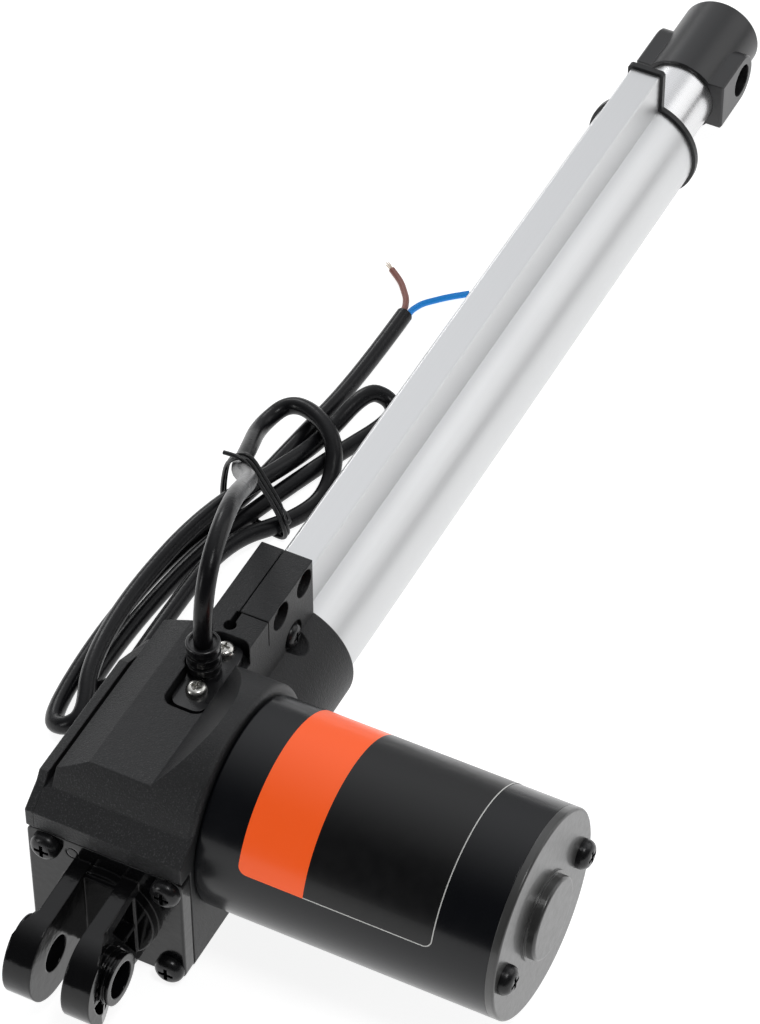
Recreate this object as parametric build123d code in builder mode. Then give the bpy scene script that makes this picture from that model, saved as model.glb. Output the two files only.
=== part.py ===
from build123d import *
from math import atan, cos, degrees, pi, radians, sin, sqrt, tan
import os

os.makedirs("parts", exist_ok=True)

# Electric linear actuator: +X runs from the rear clevis pin to the front rod end, +Z is the side of the
# cable gland, and the motor hangs off the gearbox towards -Y. The origin is the centre of the rear pin.
# All lengths are millimetres.

# General clearances
fit_gap = 0.05
running_gap = 0.1
body_gap = 0.3

# Pins and travel
pin_bore_radius = 5.05
pin_standoff = 40.3
stroke = 200.0

# Spindle drive
screw_radius = 5.0
screw_lead = 4.0
journal_radius = 4.0
bearing_outer_radius = 11.0
rear_bearing_width = 7.0
front_bearing_width = 6.0

# Worm gear: a single-start worm over a wheel on the spindle
wheel_teeth = 32
gear_module = 0.7
gear_backlash = 0.24
addendum = 0.65
dedendum = 0.85
pressure_angle = 20.0
wheel_width = 8.0
front_sleeve_length = 5.0
worm_thread_turns = 5

# Motor
motor_x = 53.2
motor_z = 16.7
motor_radius = 28.0
can_wall = 1.8
can_length = 80.2
end_plate_thickness = 2.3
bearing_cap_radius = 11.2
bearing_cap_height = 3.0
rear_bush_radius = 8.0
bush_seat_wall = 1.4
bush_inner_length = 2.8
end_screw_circle = 44.0
rotor_shaft_radius = 4.0
worm_journal_radius = 3.0
magnet_thickness = 4.5
magnet_overhang = 3.0
magnet_angle = 130.0
air_gap = 0.6
armature_slots = 10
winding_reach = 6.5
winding_gap = 0.5
commutator_radius = 8.5
commutator_length = 9.0

# Gearbox housing
housing_rear_x = 19.3
housing_front_x = 84.0
housing_bottom_z = -18.4
housing_shoulder_z = 25.05
chamfer_top_x = 25.7
chamfer_top_z = 29.5
motor_face_y = -21.3
barrel_wall = 2.4
barrel_edge = 1.5
valley_z = 37.5
valley_near_y = -7.0
valley_far_y = 10.3
near_facet_top_y = -16.7
far_facet_y = 17.3
far_facet_z = 34.3
groove_width = 2.0
cover_rim_thickness = 2.7
cover_screw_sink = 1.2
cover_screw_bite = 6.3
cover_flange_z = 29.0
cover_rim_z = 32.0
cover_slope_x = 68.2

# Tube collar at the front of the housing
collar_radius = 19.0
cover_margin = 1.3
collar_front_x = 116.7
collar_block_half = 7.4
slit_y = 0.9
keyhole_x = 86.9
keyhole_radius = 1.7
saw_cut_x = 92.0
clamp_bore_radius = 4.0
clamp_screw_z = 33.3
clamp_screw_xs = (98.7, 111.4)
clamp_bore_depth = 3.6
clamp_screw_length = 9.0
lock_seat_depth = 1.2
lock_bore_radius = 4.5
motor_bolt_offset = 16.0
motor_bolt_land = 6.0
wiring_offset_x = 17.0
wiring_offset_z = 9.0
chamber_length = 12.0
chamber_height = 7.5
chamber_roof = 2.5
chamber_reach = 6.0
cover_screw_spots = [(29.6, -9.5), (29.6, 19.5), (78.0, -12.0), (77.6, 16.0)]
lock_screw_x = 105.0
lock_screw_z = 19.6

# Extruded outer tube with its switch channel
tube_rear_x = 80.0
tube_radius = 16.2
tube_bore_radius = 14.0
channel_half = 4.6
channel_top_z = 28.6
channel_wall = 1.6
end_cap_thickness = 1.8
end_cap_rim = 1.0
guide_length = 20.0
guide_margin = 4.2

# Inner tube, nut and rod end
rod_radius = 11.0
rod_wall = 1.8
nut_length = 20.0
nut_spigot_length = 10.0
nut_start_x = 84.0
rod_end_radius = 12.2
rod_end_tail = 14.2
rod_end_nose = 17.2
rod_socket_depth = 7.2
boss_half_width = 14.2
boss_half_height = 7.8
boss_edge = 0.5
cross_pin_radius = 1.5

# Screws: M3 pan heads, M4 cheese heads inside and M4 pan heads outside
m3_radius = 1.5
m3_head_radius = 2.8
m3_head_height = 2.0
m4_radius = 2.0
m4_head_radius = 3.6
m4_head_height = 2.6
m4_pan_radius = 4.0
m4_pan_height = 3.1

# Rear bracket with its clevis
bracket_plate_thickness = 4.7
bracket_top_z = 19.5
bracket_near_y = -21.1
bracket_inset = 0.2
bracket_mark_offset = 7.2
bracket_mark_radius = 1.9
clevis_half_gap = 4.4
ear_thickness = 4.6
ear_radius = 13.0
ear_root_half = 14.0
bush_radius = 7.0
bush_end_y = 14.1
boss_radius = 14.0
boss_height = 2.5
slot_floor_x = 15.2
tip_start_x = 3.0
tip_full_x = -7.0
tip_end_y = 12.2
tip_wall = 3.0
ring_depth = 0.6
ring_width = 0.8
bracket_screw_y = 17.0
bracket_screw_z = 15.0
bracket_screw_bite = 7.0
pocket_depth = 2.6
pocket_rib = 1.6

# Cable gland and cord
gland_x = 73.1
gland_y = 0.9
gland_screw_y = -0.9
gland_screw_pitch = 14.9
gland_screw_length = 5.6
gland_flange_x = 71.5
gland_flange_length = 24.2
gland_flange_width = 9.8
gland_flange_corner = 3.1
gland_flange_thickness = 3.0
gland_pocket_rear_x = 56.3
gland_pocket_near_y = -7.6
gland_pocket_depth = 5.9
gland_clearance = 0.4
gland_top_z = 45.1
boot_radius = 4.5
boot_groove = 0.6
boot_ribs = 3
boot_cup_radius = 3.6
boot_cup_depth = 0.8
cord_radius = 2.5
core_radius = 0.95

cover_joint_y = collar_radius + cover_margin
bracket_far_y = cover_joint_y + cover_rim_thickness - bracket_inset
worm_pitch = pi * gear_module
wheel_pitch_radius = wheel_teeth * gear_module / 2
worm_pitch_radius = motor_z - wheel_pitch_radius
wheel_tip_radius = wheel_pitch_radius + addendum
worm_root_radius = worm_pitch_radius - dedendum
worm_tip_radius = worm_pitch_radius + addendum
lead_angle = degrees(atan(worm_pitch / (2 * pi * worm_pitch_radius)))
barrel_radius = motor_radius + barrel_wall
barrel_top_z = motor_z + barrel_radius
gear_bore_radius = wheel_tip_radius + 0.9
nut_reach = nut_length + nut_spigot_length
tube_front_x = nut_start_x + nut_reach + stroke + guide_margin + guide_length
front_pin_x = tube_front_x + pin_standoff
rod_end_rear_x = front_pin_x - rod_end_tail
rod_end_front_x = front_pin_x + rod_end_nose
rod_bore_radius = rod_radius - rod_wall


def pan_screw(head_radius, head_height, shank_radius, length):
    """Pan-head cross-recess screw: the head stands on Z = 0 and the shank runs down from it."""
    with BuildPart() as screw:
        with BuildSketch(Plane.XY):
            Circle(head_radius)
        extrude(amount=head_height)
        fillet(screw.edges().group_by(Axis.Z)[-1], head_height * 0.75)
        with BuildSketch(Plane.XY.offset(head_height)):
            Rectangle(head_radius * 1.05, head_radius * 0.26)
            Rectangle(head_radius * 0.26, head_radius * 1.05)
        extrude(amount=-head_height * 0.55, mode=Mode.SUBTRACT)
        with BuildSketch(Plane.XY):
            Circle(shank_radius)
        extrude(amount=-length)
    return screw.part


# Rear bracket: black painted die casting, a plate that closes the gearbox, with the clevis ears on it
plate_front_x = housing_rear_x + bracket_plate_thickness
bearing_rear_x = housing_rear_x + 0.8
bearing_front_x = bearing_rear_x + rear_bearing_width
boss_rear_x = housing_rear_x - boss_height
ear_outer_y = clevis_half_gap + ear_thickness
with BuildPart() as rear_bracket:
    with BuildSketch(Plane.YZ.offset(housing_rear_x)) as plate:
        with Locations(((bracket_far_y + bracket_near_y) / 2, (bracket_top_z + housing_bottom_z) / 2)):
            RectangleRounded(bracket_far_y - bracket_near_y, bracket_top_z - housing_bottom_z, 2.5)
    extrude(amount=bracket_plate_thickness)
    fillet(rear_bracket.faces().sort_by(Axis.X)[0].outer_wire().edges(), 0.6)
    with BuildSketch(Plane.YZ.offset(boss_rear_x)):
        Circle(boss_radius)
    extrude(amount=boss_height)
    with BuildSketch(Plane.YZ.offset(plate_front_x)):
        Circle(gear_bore_radius - running_gap)
    extrude(amount=bearing_front_x - plate_front_x)
    for side in (-1, 1):
        ear_inner = side * clevis_half_gap
        with BuildSketch(Plane.XZ.offset(-ear_inner)) as ear:
            with BuildLine():
                CenterArc((0, 0), ear_radius, 90, 180)
                Polyline(
                    (0, ear_radius), (housing_rear_x, ear_root_half),
                    (housing_rear_x, -ear_root_half), (0, -ear_radius),
                )
            make_face()
        extrude(amount=-side * ear_thickness)
        pocket_y = side * ear_outer_y
        with BuildSketch(Plane.XZ.offset(-pocket_y)) as tip_rim:
            Circle(ear_radius)
            Circle(ear_radius - tip_wall, mode=Mode.SUBTRACT)
            with PolarLocations(
                (bush_radius + ear_radius - tip_wall) / 2, 3, start_angle=120, angular_range=120, endpoint=True
            ):
                Rectangle(ear_radius - tip_wall - bush_radius + 1, pocket_rib)
            with Locations((tip_start_x + ear_radius, 0)):
                Rectangle(2 * ear_radius, 2 * ear_radius, mode=Mode.SUBTRACT)
        extrude(amount=-side * (tip_end_y - ear_outer_y))
        with BuildSketch(Plane.XY.offset(-ear_radius)) as tip_slant:
            with BuildLine():
                Polyline(
                    (tip_start_x, pocket_y), (tip_start_x, side * (tip_end_y + 1)),
                    (tip_full_x, side * (tip_end_y + 1)), (tip_full_x, side * tip_end_y), close=True,
                )
            make_face()
        extrude(amount=2 * ear_radius, mode=Mode.SUBTRACT)
        with BuildSketch(Plane.XZ.offset(-pocket_y)) as pocket:
            with BuildLine():
                Polyline(
                    (bush_radius - 1, bush_radius + 2.2), (boss_rear_x - 0.6, ear_root_half - 3.2),
                    (boss_rear_x - 0.6, 3.2 - ear_root_half), (bush_radius - 1, -bush_radius - 2.2), close=True,
                )
            make_face()
            Circle(bush_radius + 1.0, mode=Mode.SUBTRACT)
            with Locations((bush_radius + 5, 0)):
                Rectangle(ear_radius, pocket_rib, mode=Mode.SUBTRACT)
            with Locations((bush_radius + 2.6, 0)):
                Rectangle(pocket_rib, 2 * ear_root_half, rotation=28, mode=Mode.SUBTRACT)
        extrude(amount=side * pocket_depth, mode=Mode.SUBTRACT)
        with BuildSketch(Plane.XZ.offset(-pocket_y)):
            Circle(bush_radius)
        extrude(amount=-side * (bush_end_y - ear_outer_y))
        for ring in (1, 2):
            with BuildSketch(Plane.XZ.offset(-side * (bush_end_y - 2 * ring * ring_width + ring_width))):
                Circle(bush_radius + 1)
                Circle(bush_radius - ring_depth, mode=Mode.SUBTRACT)
            extrude(amount=side * ring_width, mode=Mode.SUBTRACT)
    with BuildSketch(Plane.XZ.offset(-clevis_half_gap)) as slot_floor:
        with Locations(((slot_floor_x + housing_rear_x) / 2, 0)):
            Rectangle(housing_rear_x - slot_floor_x, 2 * ear_radius)
    extrude(amount=2 * clevis_half_gap)
    with BuildSketch(Plane.XZ.offset(-bush_end_y - 1)):
        Circle(pin_bore_radius)
    extrude(amount=2 * bush_end_y + 2, mode=Mode.SUBTRACT)
    with BuildSketch(Plane.YZ.offset(bearing_rear_x)):
        Circle(bearing_outer_radius + fit_gap)
    extrude(amount=rear_bearing_width + 1, mode=Mode.SUBTRACT)
    with BuildSketch(Plane.YZ.offset(bearing_rear_x - 1.2)):
        Circle(journal_radius + 3)
    extrude(amount=1.3, mode=Mode.SUBTRACT)
    with BuildSketch(Plane.YZ.offset(housing_rear_x)):
        with GridLocations(2 * bracket_screw_y, 2 * bracket_screw_z, 2, 2):
            Circle(m4_radius + 2 * running_gap)
    extrude(amount=bracket_plate_thickness, mode=Mode.SUBTRACT)
    with BuildSketch(Plane.YZ.offset(housing_rear_x)):
        with Locations((bracket_screw_y - bracket_mark_offset, bracket_screw_z)):
            Circle(bracket_mark_radius)
            Circle(bracket_mark_radius - 2 * bracket_inset, mode=Mode.SUBTRACT)
    extrude(amount=bracket_inset, mode=Mode.SUBTRACT)
rear_bracket.part.label = "rear_bracket"
export_step(rear_bracket.part, "parts/rear_bracket.step")

bracket_screw = pan_screw(
    m4_pan_radius, m4_pan_height, m4_radius - fit_gap, bracket_plate_thickness + bracket_screw_bite
)
bracket_screw_spots = [
    (side_y * bracket_screw_y, side_z * bracket_screw_z) for side_y in (-1, 1) for side_z in (-1, 1)
]
with BuildPart() as rear_bracket_screws:
    for spot_y, spot_z in bracket_screw_spots:
        seat = Plane(origin=(housing_rear_x, spot_y, spot_z), x_dir=(0, 1, 0), z_dir=(-1, 0, 0))
        add(seat.location * bracket_screw)
rear_bracket_screws.part.label = "rear_bracket_screws"
export_step(rear_bracket_screws.part, "parts/rear_bracket_screws.step")

# Gearbox housing: glass-filled nylon moulding, a barrel concentric with the motor, a valley for the
# gland, a recess for the bracket plate and a split collar that clamps the outer tube
tube_fit_radius = tube_radius + fit_gap
channel_fit_half = channel_half + fit_gap
front_bearing_x = motor_x + wheel_width / 2 + front_sleeve_length
front_bearing_end_x = front_bearing_x + front_bearing_width
worm_end_y = (worm_thread_turns + 2) * worm_pitch / 2
worm_bush_length = 5.0
worm_bush_y = worm_end_y + body_gap
worm_bush_radius = 6.0
clamp_seat_y = clamp_bore_depth - collar_block_half
lock_seat_y = lock_seat_depth - collar_block_half
valley_rear_x = motor_x - sqrt(barrel_radius**2 - (valley_z - motor_z) ** 2)
gland_floor_z = valley_z - gland_pocket_depth
gland_pilot_depth = gland_screw_length - gland_flange_thickness + body_gap
gland_pocket_front_x = gland_flange_x + gland_flange_length / 2 + gland_clearance
gland_pocket_far_y = gland_screw_y + gland_flange_width / 2 + gland_clearance
gland_screw_spots = [(gland_x + side * gland_screw_pitch / 2, gland_screw_y) for side in (-1, 1)]
with BuildPart() as gearbox_housing:
    with BuildSketch(Plane.XZ.offset(-cover_joint_y)) as side_profile:
        with Locations((motor_x, motor_z)):
            Circle(barrel_radius)
        with BuildLine():
            Polyline(
                (housing_rear_x, housing_bottom_z), (housing_rear_x, housing_shoulder_z),
                (chamfer_top_x, chamfer_top_z), (motor_x, chamfer_top_z), (motor_x, motor_z),
                (housing_front_x, motor_z), (housing_front_x, housing_bottom_z), close=True,
            )
        make_face()
    extrude(amount=cover_joint_y - motor_face_y)
    fillet(
        gearbox_housing.faces().sort_by(Axis.Y)[0].edges().filter_by(GeomType.CIRCLE), barrel_edge
    )
    with BuildSketch(Plane.XZ.offset(-cover_joint_y)) as plateau:
        with BuildLine():
            Polyline(
                (valley_rear_x, 0), (valley_rear_x, valley_z),
                (housing_front_x, valley_z), (housing_front_x, 0), close=True,
            )
        make_face()
    extrude(amount=cover_joint_y - valley_near_y)
    fillet(
        gearbox_housing.edges().filter_by(Axis.Z).group_by(Axis.X)[-1].group_by(Axis.Y)[-1], 4.0
    )
    with BuildSketch(Plane.YZ.offset(housing_rear_x - 1)) as valley:
        with BuildLine():
            Polyline(
                (near_facet_top_y, barrel_top_z), (valley_near_y, valley_z), (valley_far_y, valley_z),
                (far_facet_y, far_facet_z), (cover_joint_y + 1, far_facet_z - 0.5),
                (cover_joint_y + 1, barrel_top_z + 1), (near_facet_top_y, barrel_top_z + 1), close=True,
            )
        make_face()
    extrude(amount=housing_front_x - housing_rear_x + 2, mode=Mode.SUBTRACT)
    with BuildSketch(Plane.YZ.offset(housing_rear_x - 1)) as groove:
        with Locations((cover_joint_y - groove_width / 2, cover_flange_z + 5)):
            Rectangle(groove_width, 10)
    extrude(amount=housing_front_x - housing_rear_x + 2, mode=Mode.SUBTRACT)
    fillet(gearbox_housing.edges().filter_by(Axis.X).group_by(Axis.Z)[0], 2.5)
    with BuildSketch(Plane.YZ.offset(housing_front_x - 6)) as collar:
        Circle(collar_radius)
        with Locations((0, valley_z / 2)):
            Rectangle(2 * collar_block_half, valley_z)
    extrude(amount=collar_front_x - housing_front_x + 6)
    fillet(
        gearbox_housing.faces().sort_by(Axis.X)[-1].outer_wire().edges(), 0.8
    )
    # recess for the bracket plate, spindle bore, bearing seat and tube socket
    with BuildSketch(Plane.YZ.offset(housing_rear_x)):
        with Locations((0, (bracket_top_z + fit_gap + housing_bottom_z - 5) / 2)):
            Rectangle(3 * bracket_far_y, bracket_top_z + fit_gap - housing_bottom_z + 5)
    extrude(amount=bracket_plate_thickness, mode=Mode.SUBTRACT)
    with BuildSketch(Plane.YZ.offset(plate_front_x)):
        Circle(gear_bore_radius)
    extrude(amount=front_bearing_x - plate_front_x, mode=Mode.SUBTRACT)
    with BuildSketch(Plane.YZ.offset(front_bearing_x)):
        Circle(bearing_outer_radius + fit_gap)
    extrude(amount=front_bearing_width, mode=Mode.SUBTRACT)
    with BuildSketch(Plane.YZ.offset(front_bearing_end_x)):
        Circle(bearing_outer_radius - 2)
    extrude(amount=tube_rear_x - front_bearing_end_x, mode=Mode.SUBTRACT)
    with BuildSketch(Plane.YZ.offset(tube_rear_x)) as socket:
        Circle(tube_fit_radius)
        with Locations((0, (channel_top_z + fit_gap) / 2)):
            Rectangle(2 * channel_fit_half, channel_top_z + fit_gap)
    extrude(amount=collar_front_x - tube_rear_x, mode=Mode.SUBTRACT)
    # worm bore from the motor side, with the seat of its end bush
    with BuildSketch(Plane.XZ.offset(-worm_bush_y)):
        with Locations((motor_x, motor_z)):
            Circle(worm_tip_radius + 1.0)
    extrude(amount=worm_bush_y - motor_face_y, mode=Mode.SUBTRACT)
    with BuildSketch(Plane.XZ.offset(-cover_joint_y)):
        with Locations((motor_x, motor_z)):
            Circle(worm_bush_radius + fit_gap)
    extrude(amount=cover_joint_y - worm_bush_y, mode=Mode.SUBTRACT)
    # wiring chambers, open to the far cover
    with BuildSketch(Plane.XZ.offset(-cover_joint_y)) as chambers:
        with Locations((gland_x, gland_floor_z - chamber_roof - chamber_height / 2)):
            Rectangle(gland_screw_pitch, chamber_height)
        with Locations((motor_x - wiring_offset_x, motor_z + wiring_offset_z)):
            RectangleRounded(chamber_length, chamber_height, 1.5)
    extrude(amount=cover_joint_y + chamber_reach, mode=Mode.SUBTRACT)
    # slots and bores seen from above
    with BuildSketch(Plane.XY.offset(valley_z)) as gland_pocket:
        with Locations(
            ((gland_pocket_rear_x + gland_pocket_front_x) / 2, (gland_pocket_near_y + gland_pocket_far_y) / 2)
        ):
            RectangleRounded(
                gland_pocket_front_x - gland_pocket_rear_x, gland_pocket_far_y - gland_pocket_near_y,
                gland_flange_corner + gland_clearance,
            )
        with Locations((gland_x, gland_y)):
            Circle(boot_radius + gland_clearance)
    extrude(amount=-gland_pocket_depth, mode=Mode.SUBTRACT)
    with BuildSketch(Plane.XY.offset(gland_floor_z)):
        with Locations((gland_x, gland_y)):
            Circle(cord_radius + body_gap)
        with Locations(*gland_screw_spots):
            Circle(m3_radius)
    extrude(amount=-gland_pilot_depth, mode=Mode.SUBTRACT)
    with BuildSketch(Plane.XY.offset(valley_z)) as slit:
        with Locations((keyhole_x, slit_y)):
            Circle(keyhole_radius)
        with Locations(((keyhole_x + saw_cut_x) / 2, slit_y)):
            Rectangle(saw_cut_x - keyhole_x, 1.6)
        with Locations(((saw_cut_x + collar_front_x) / 2, slit_y)):
            Rectangle(collar_front_x - saw_cut_x + 0.2, 0.4)
        with Locations((saw_cut_x, slit_y - collar_block_half)):
            Rectangle(0.4, 2 * collar_block_half)
    extrude(amount=-(valley_z - channel_top_z), mode=Mode.SUBTRACT)
    # clamp and lock screw bores
    with BuildSketch(Plane.XZ.offset(collar_block_half)) as clamp_bores:
        with Locations(*[(x, clamp_screw_z) for x in clamp_screw_xs]):
            Circle(clamp_bore_radius)
    extrude(amount=-clamp_bore_depth, mode=Mode.SUBTRACT)
    with BuildSketch(Plane.XZ.offset(collar_block_half)):
        with Locations(*[(x, clamp_screw_z) for x in clamp_screw_xs]):
            Circle(m3_radius + running_gap)
    extrude(amount=-clamp_bore_depth - clamp_screw_length - 0.5, mode=Mode.SUBTRACT)
    with BuildSketch(Plane.XZ.offset(collar_radius)):
        with Locations((lock_screw_x, lock_screw_z)):
            Circle(lock_bore_radius)
    extrude(amount=-(collar_radius - collar_block_half) - lock_seat_depth, mode=Mode.SUBTRACT)
    with BuildSketch(Plane.XZ.offset(collar_radius)):
        with Locations((lock_screw_x, lock_screw_z)):
            Circle(m4_radius + fit_gap)
    extrude(amount=-(collar_radius - channel_half), mode=Mode.SUBTRACT)
    # pilot holes for the bracket, motor and cover screws
    with BuildSketch(Plane.YZ.offset(plate_front_x)):
        with GridLocations(2 * bracket_screw_y, 2 * bracket_screw_z, 2, 2):
            Circle(m4_radius)
    extrude(amount=bracket_screw_bite + 0.5, mode=Mode.SUBTRACT)
    with BuildSketch(Plane.XZ.offset(-cover_joint_y)) as motor_bolts:
        with Locations((motor_x - motor_bolt_offset, motor_z), (motor_x + motor_bolt_offset, motor_z)):
            Circle(m4_head_radius + 0.2)
    extrude(amount=cover_joint_y - motor_face_y - motor_bolt_land, mode=Mode.SUBTRACT)
    with BuildSketch(Plane.XZ.offset(-motor_face_y)):
        with Locations((motor_x - motor_bolt_offset, motor_z), (motor_x + motor_bolt_offset, motor_z)):
            Circle(m4_radius + fit_gap)
    extrude(amount=-motor_bolt_land, mode=Mode.SUBTRACT)
    with BuildSketch(Plane.XZ.offset(-cover_joint_y)):
        with Locations(*cover_screw_spots):
            Circle(m3_radius + fit_gap)
    extrude(amount=cover_screw_bite + 0.5, mode=Mode.SUBTRACT)
gearbox_housing.part.label = "gearbox_housing"
export_step(gearbox_housing.part, "parts/gearbox_housing.step")

# Far cover: flat nylon moulding with a raised rim, which closes the worm end and the wiring chambers
cover_rear_x = plate_front_x + fit_gap
cover_face_y = cover_joint_y + cover_rim_thickness
cover_edge = [
    (cover_rear_x, housing_bottom_z), (cover_rear_x, bracket_top_z + fit_gap),
    (housing_rear_x, bracket_top_z + fit_gap), (housing_rear_x, housing_shoulder_z),
    (chamfer_top_x, chamfer_top_z), (chamfer_top_x + 1.8, cover_rim_z), (cover_slope_x, cover_rim_z),
    (housing_front_x, cover_flange_z - 4), (housing_front_x, housing_bottom_z),
]
with BuildPart() as gearbox_cover:
    with BuildSketch(Plane.XZ.offset(-cover_face_y)) as rim_outline:
        with BuildLine():
            Polyline(*cover_edge, close=True)
        make_face()
    extrude(amount=cover_face_y - cover_joint_y)
    fillet(gearbox_cover.edges().filter_by(Axis.Y).group_by(Axis.X)[-1], 4.0)
    fillet(gearbox_cover.faces().sort_by(Axis.Y)[-1].outer_wire().edges(), 0.6)
    with BuildSketch(Plane.XZ.offset(-cover_joint_y)):
        with Locations((motor_x, motor_z)):
            Circle(worm_bush_radius - running_gap)
    extrude(amount=cover_joint_y - worm_bush_y - worm_bush_length - fit_gap)
    with BuildSketch(Plane.XZ.offset(-cover_face_y)):
        with Locations(*cover_screw_spots):
            Circle(3.1)
    extrude(amount=cover_screw_sink, mode=Mode.SUBTRACT)
    with BuildSketch(Plane.XZ.offset(-cover_face_y)):
        with Locations(*cover_screw_spots):
            Circle(1.6)
    extrude(amount=cover_face_y - cover_joint_y, mode=Mode.SUBTRACT)
gearbox_cover.part.label = "gearbox_cover"
export_step(gearbox_cover.part, "parts/gearbox_cover.step")

cover_screw = pan_screw(
    m3_head_radius, m3_head_height, m3_radius, cover_rim_thickness - cover_screw_sink + cover_screw_bite
)
with BuildPart() as cover_screws:
    for spot_x, spot_z in cover_screw_spots:
        seat = Plane(origin=(spot_x, cover_face_y - cover_screw_sink, spot_z), x_dir=(1, 0, 0), z_dir=(0, 1, 0))
        add(seat.location * cover_screw)
cover_screws.part.label = "cover_screws"
export_step(cover_screws.part, "parts/cover_screws.step")

clamp_screw = pan_screw(m3_head_radius, m3_head_height, m3_radius, clamp_screw_length)
with BuildPart() as collar_clamp_screws:
    for spot_x in clamp_screw_xs:
        seat = Plane(origin=(spot_x, clamp_seat_y, clamp_screw_z), x_dir=(1, 0, 0), z_dir=(0, -1, 0))
        add(seat.location * clamp_screw)
collar_clamp_screws.part.label = "collar_clamp_screws"
export_step(collar_clamp_screws.part, "parts/collar_clamp_screws.step")

lock_screw = pan_screw(3.4, 2.4, 2.0, -lock_seat_y - channel_half + channel_wall - 0.2)
with BuildPart() as tube_lock_screw:
    seat = Plane(origin=(lock_screw_x, lock_seat_y, lock_screw_z), x_dir=(1, 0, 0), z_dir=(0, -1, 0))
    add(seat.location * lock_screw)
tube_lock_screw.part.label = "tube_lock_screw"
export_step(tube_lock_screw.part, "parts/tube_lock_screw.step")

# Outer tube: one aluminium extrusion, round below and a narrow switch channel above
with BuildPart() as outer_tube:
    with BuildSketch(Plane.YZ.offset(tube_rear_x)) as tube_profile:
        Circle(tube_radius)
        with Locations((0, channel_top_z / 2)):
            Rectangle(2 * channel_half, channel_top_z)
        fillet(tube_profile.vertices().group_by(Axis.Y)[-1], 0.5)
        Circle(tube_bore_radius, mode=Mode.SUBTRACT)
        with Locations((0, (channel_top_z - channel_wall) / 2)):
            Rectangle(2 * (channel_half - channel_wall), channel_top_z - channel_wall, mode=Mode.SUBTRACT)
    extrude(amount=tube_front_x - tube_rear_x)
    with BuildSketch(Plane.XZ.offset(channel_half)):
        with Locations((lock_screw_x, lock_screw_z)):
            Circle(m4_radius + fit_gap)
    extrude(amount=-channel_wall, mode=Mode.SUBTRACT)
outer_tube.part.label = "outer_tube"
export_step(outer_tube.part, "parts/outer_tube.step")

# Front end cap: thin black moulding that follows the profile, with a plug in the channel
wiper_outer_radius = rod_radius + 2.2
plug_length = 6.0
plug_half = channel_half - channel_wall - running_gap
plug_top_z = channel_top_z - channel_wall - running_gap
with BuildPart() as tube_end_cap:
    with BuildSketch(Plane.YZ.offset(tube_front_x)) as cap_profile:
        Circle(tube_radius + end_cap_rim)
        with Locations((0, (channel_top_z + end_cap_rim) / 2)):
            Rectangle(2 * (channel_half + end_cap_rim), channel_top_z + end_cap_rim)
        fillet(cap_profile.vertices().group_by(Axis.Y)[-1], 1.2)
        Circle(wiper_outer_radius + fit_gap, mode=Mode.SUBTRACT)
    extrude(amount=end_cap_thickness)
    with BuildSketch(Plane.YZ.offset(tube_front_x)) as plug:
        with Locations((0, (plug_top_z + tube_bore_radius + 1) / 2)):
            Rectangle(2 * plug_half, plug_top_z - tube_bore_radius - 1)
    extrude(amount=-plug_length)
tube_end_cap.part.label = "tube_end_cap"
export_step(tube_end_cap.part, "parts/tube_end_cap.step")

with BuildPart() as rod_wiper:
    with BuildSketch(Plane.YZ.offset(tube_front_x + fit_gap)):
        Circle(wiper_outer_radius)
        Circle(rod_radius + running_gap, mode=Mode.SUBTRACT)
    extrude(amount=end_cap_thickness)
    chamfer(rod_wiper.faces().sort_by(Axis.X)[-1].edges().sort_by(SortBy.LENGTH)[-1], 0.5)
rod_wiper.part.label = "rod_wiper"
export_step(rod_wiper.part, "parts/rod_wiper.step")

with BuildPart() as guide_bush:
    with BuildSketch(Plane.YZ.offset(tube_front_x - guide_length)):
        Circle(tube_bore_radius - fit_gap)
        Circle(rod_radius + running_gap, mode=Mode.SUBTRACT)
    extrude(amount=guide_length)
guide_bush.part.label = "guide_bush"
export_step(guide_bush.part, "parts/guide_bush.step")

# Limit switches on a circuit board in the channel
key_top_z = tube_bore_radius + 4.0
board_front_x = tube_front_x - plug_length - running_gap
board_rear_x = tube_rear_x + 2 * body_gap
board_y = -(channel_half - channel_wall) + running_gap
board_top_z = channel_top_z - channel_wall - running_gap
board_thickness = 1.0
with BuildPart() as switch_board:
    with BuildSketch(Plane.XZ.offset(-board_y)):
        with Locations(((board_rear_x + board_front_x) / 2, (board_top_z + key_top_z + 0.6) / 2)):
            Rectangle(board_front_x - board_rear_x, board_top_z - key_top_z - 0.6)
    extrude(amount=-board_thickness)
switch_board.part.label = "switch_board"
export_step(switch_board.part, "parts/switch_board.step")

switch_length = 12.8
switch_xs = (nut_start_x + nut_length / 2, nut_start_x + nut_length / 2 + stroke)
with BuildPart() as limit_switches:
    for switch_x in switch_xs:
        with BuildSketch(Plane.XZ.offset(-board_y - board_thickness - fit_gap)):
            with Locations((switch_x, (board_top_z + key_top_z + 1.8) / 2)):
                Rectangle(switch_length, board_top_z - key_top_z - 1.8)
        extrude(amount=-(2 * (channel_half - channel_wall) - board_thickness - 0.6))
        with BuildSketch(Plane.XZ.offset(-board_y - board_thickness - 1.2)):
            with Locations((switch_x, key_top_z + 1.2)):
                Rectangle(2.0, 1.4)
        extrude(amount=-2.0)
limit_switches.part.label = "limit_switches"
export_step(limit_switches.part, "parts/limit_switches.step")

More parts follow.
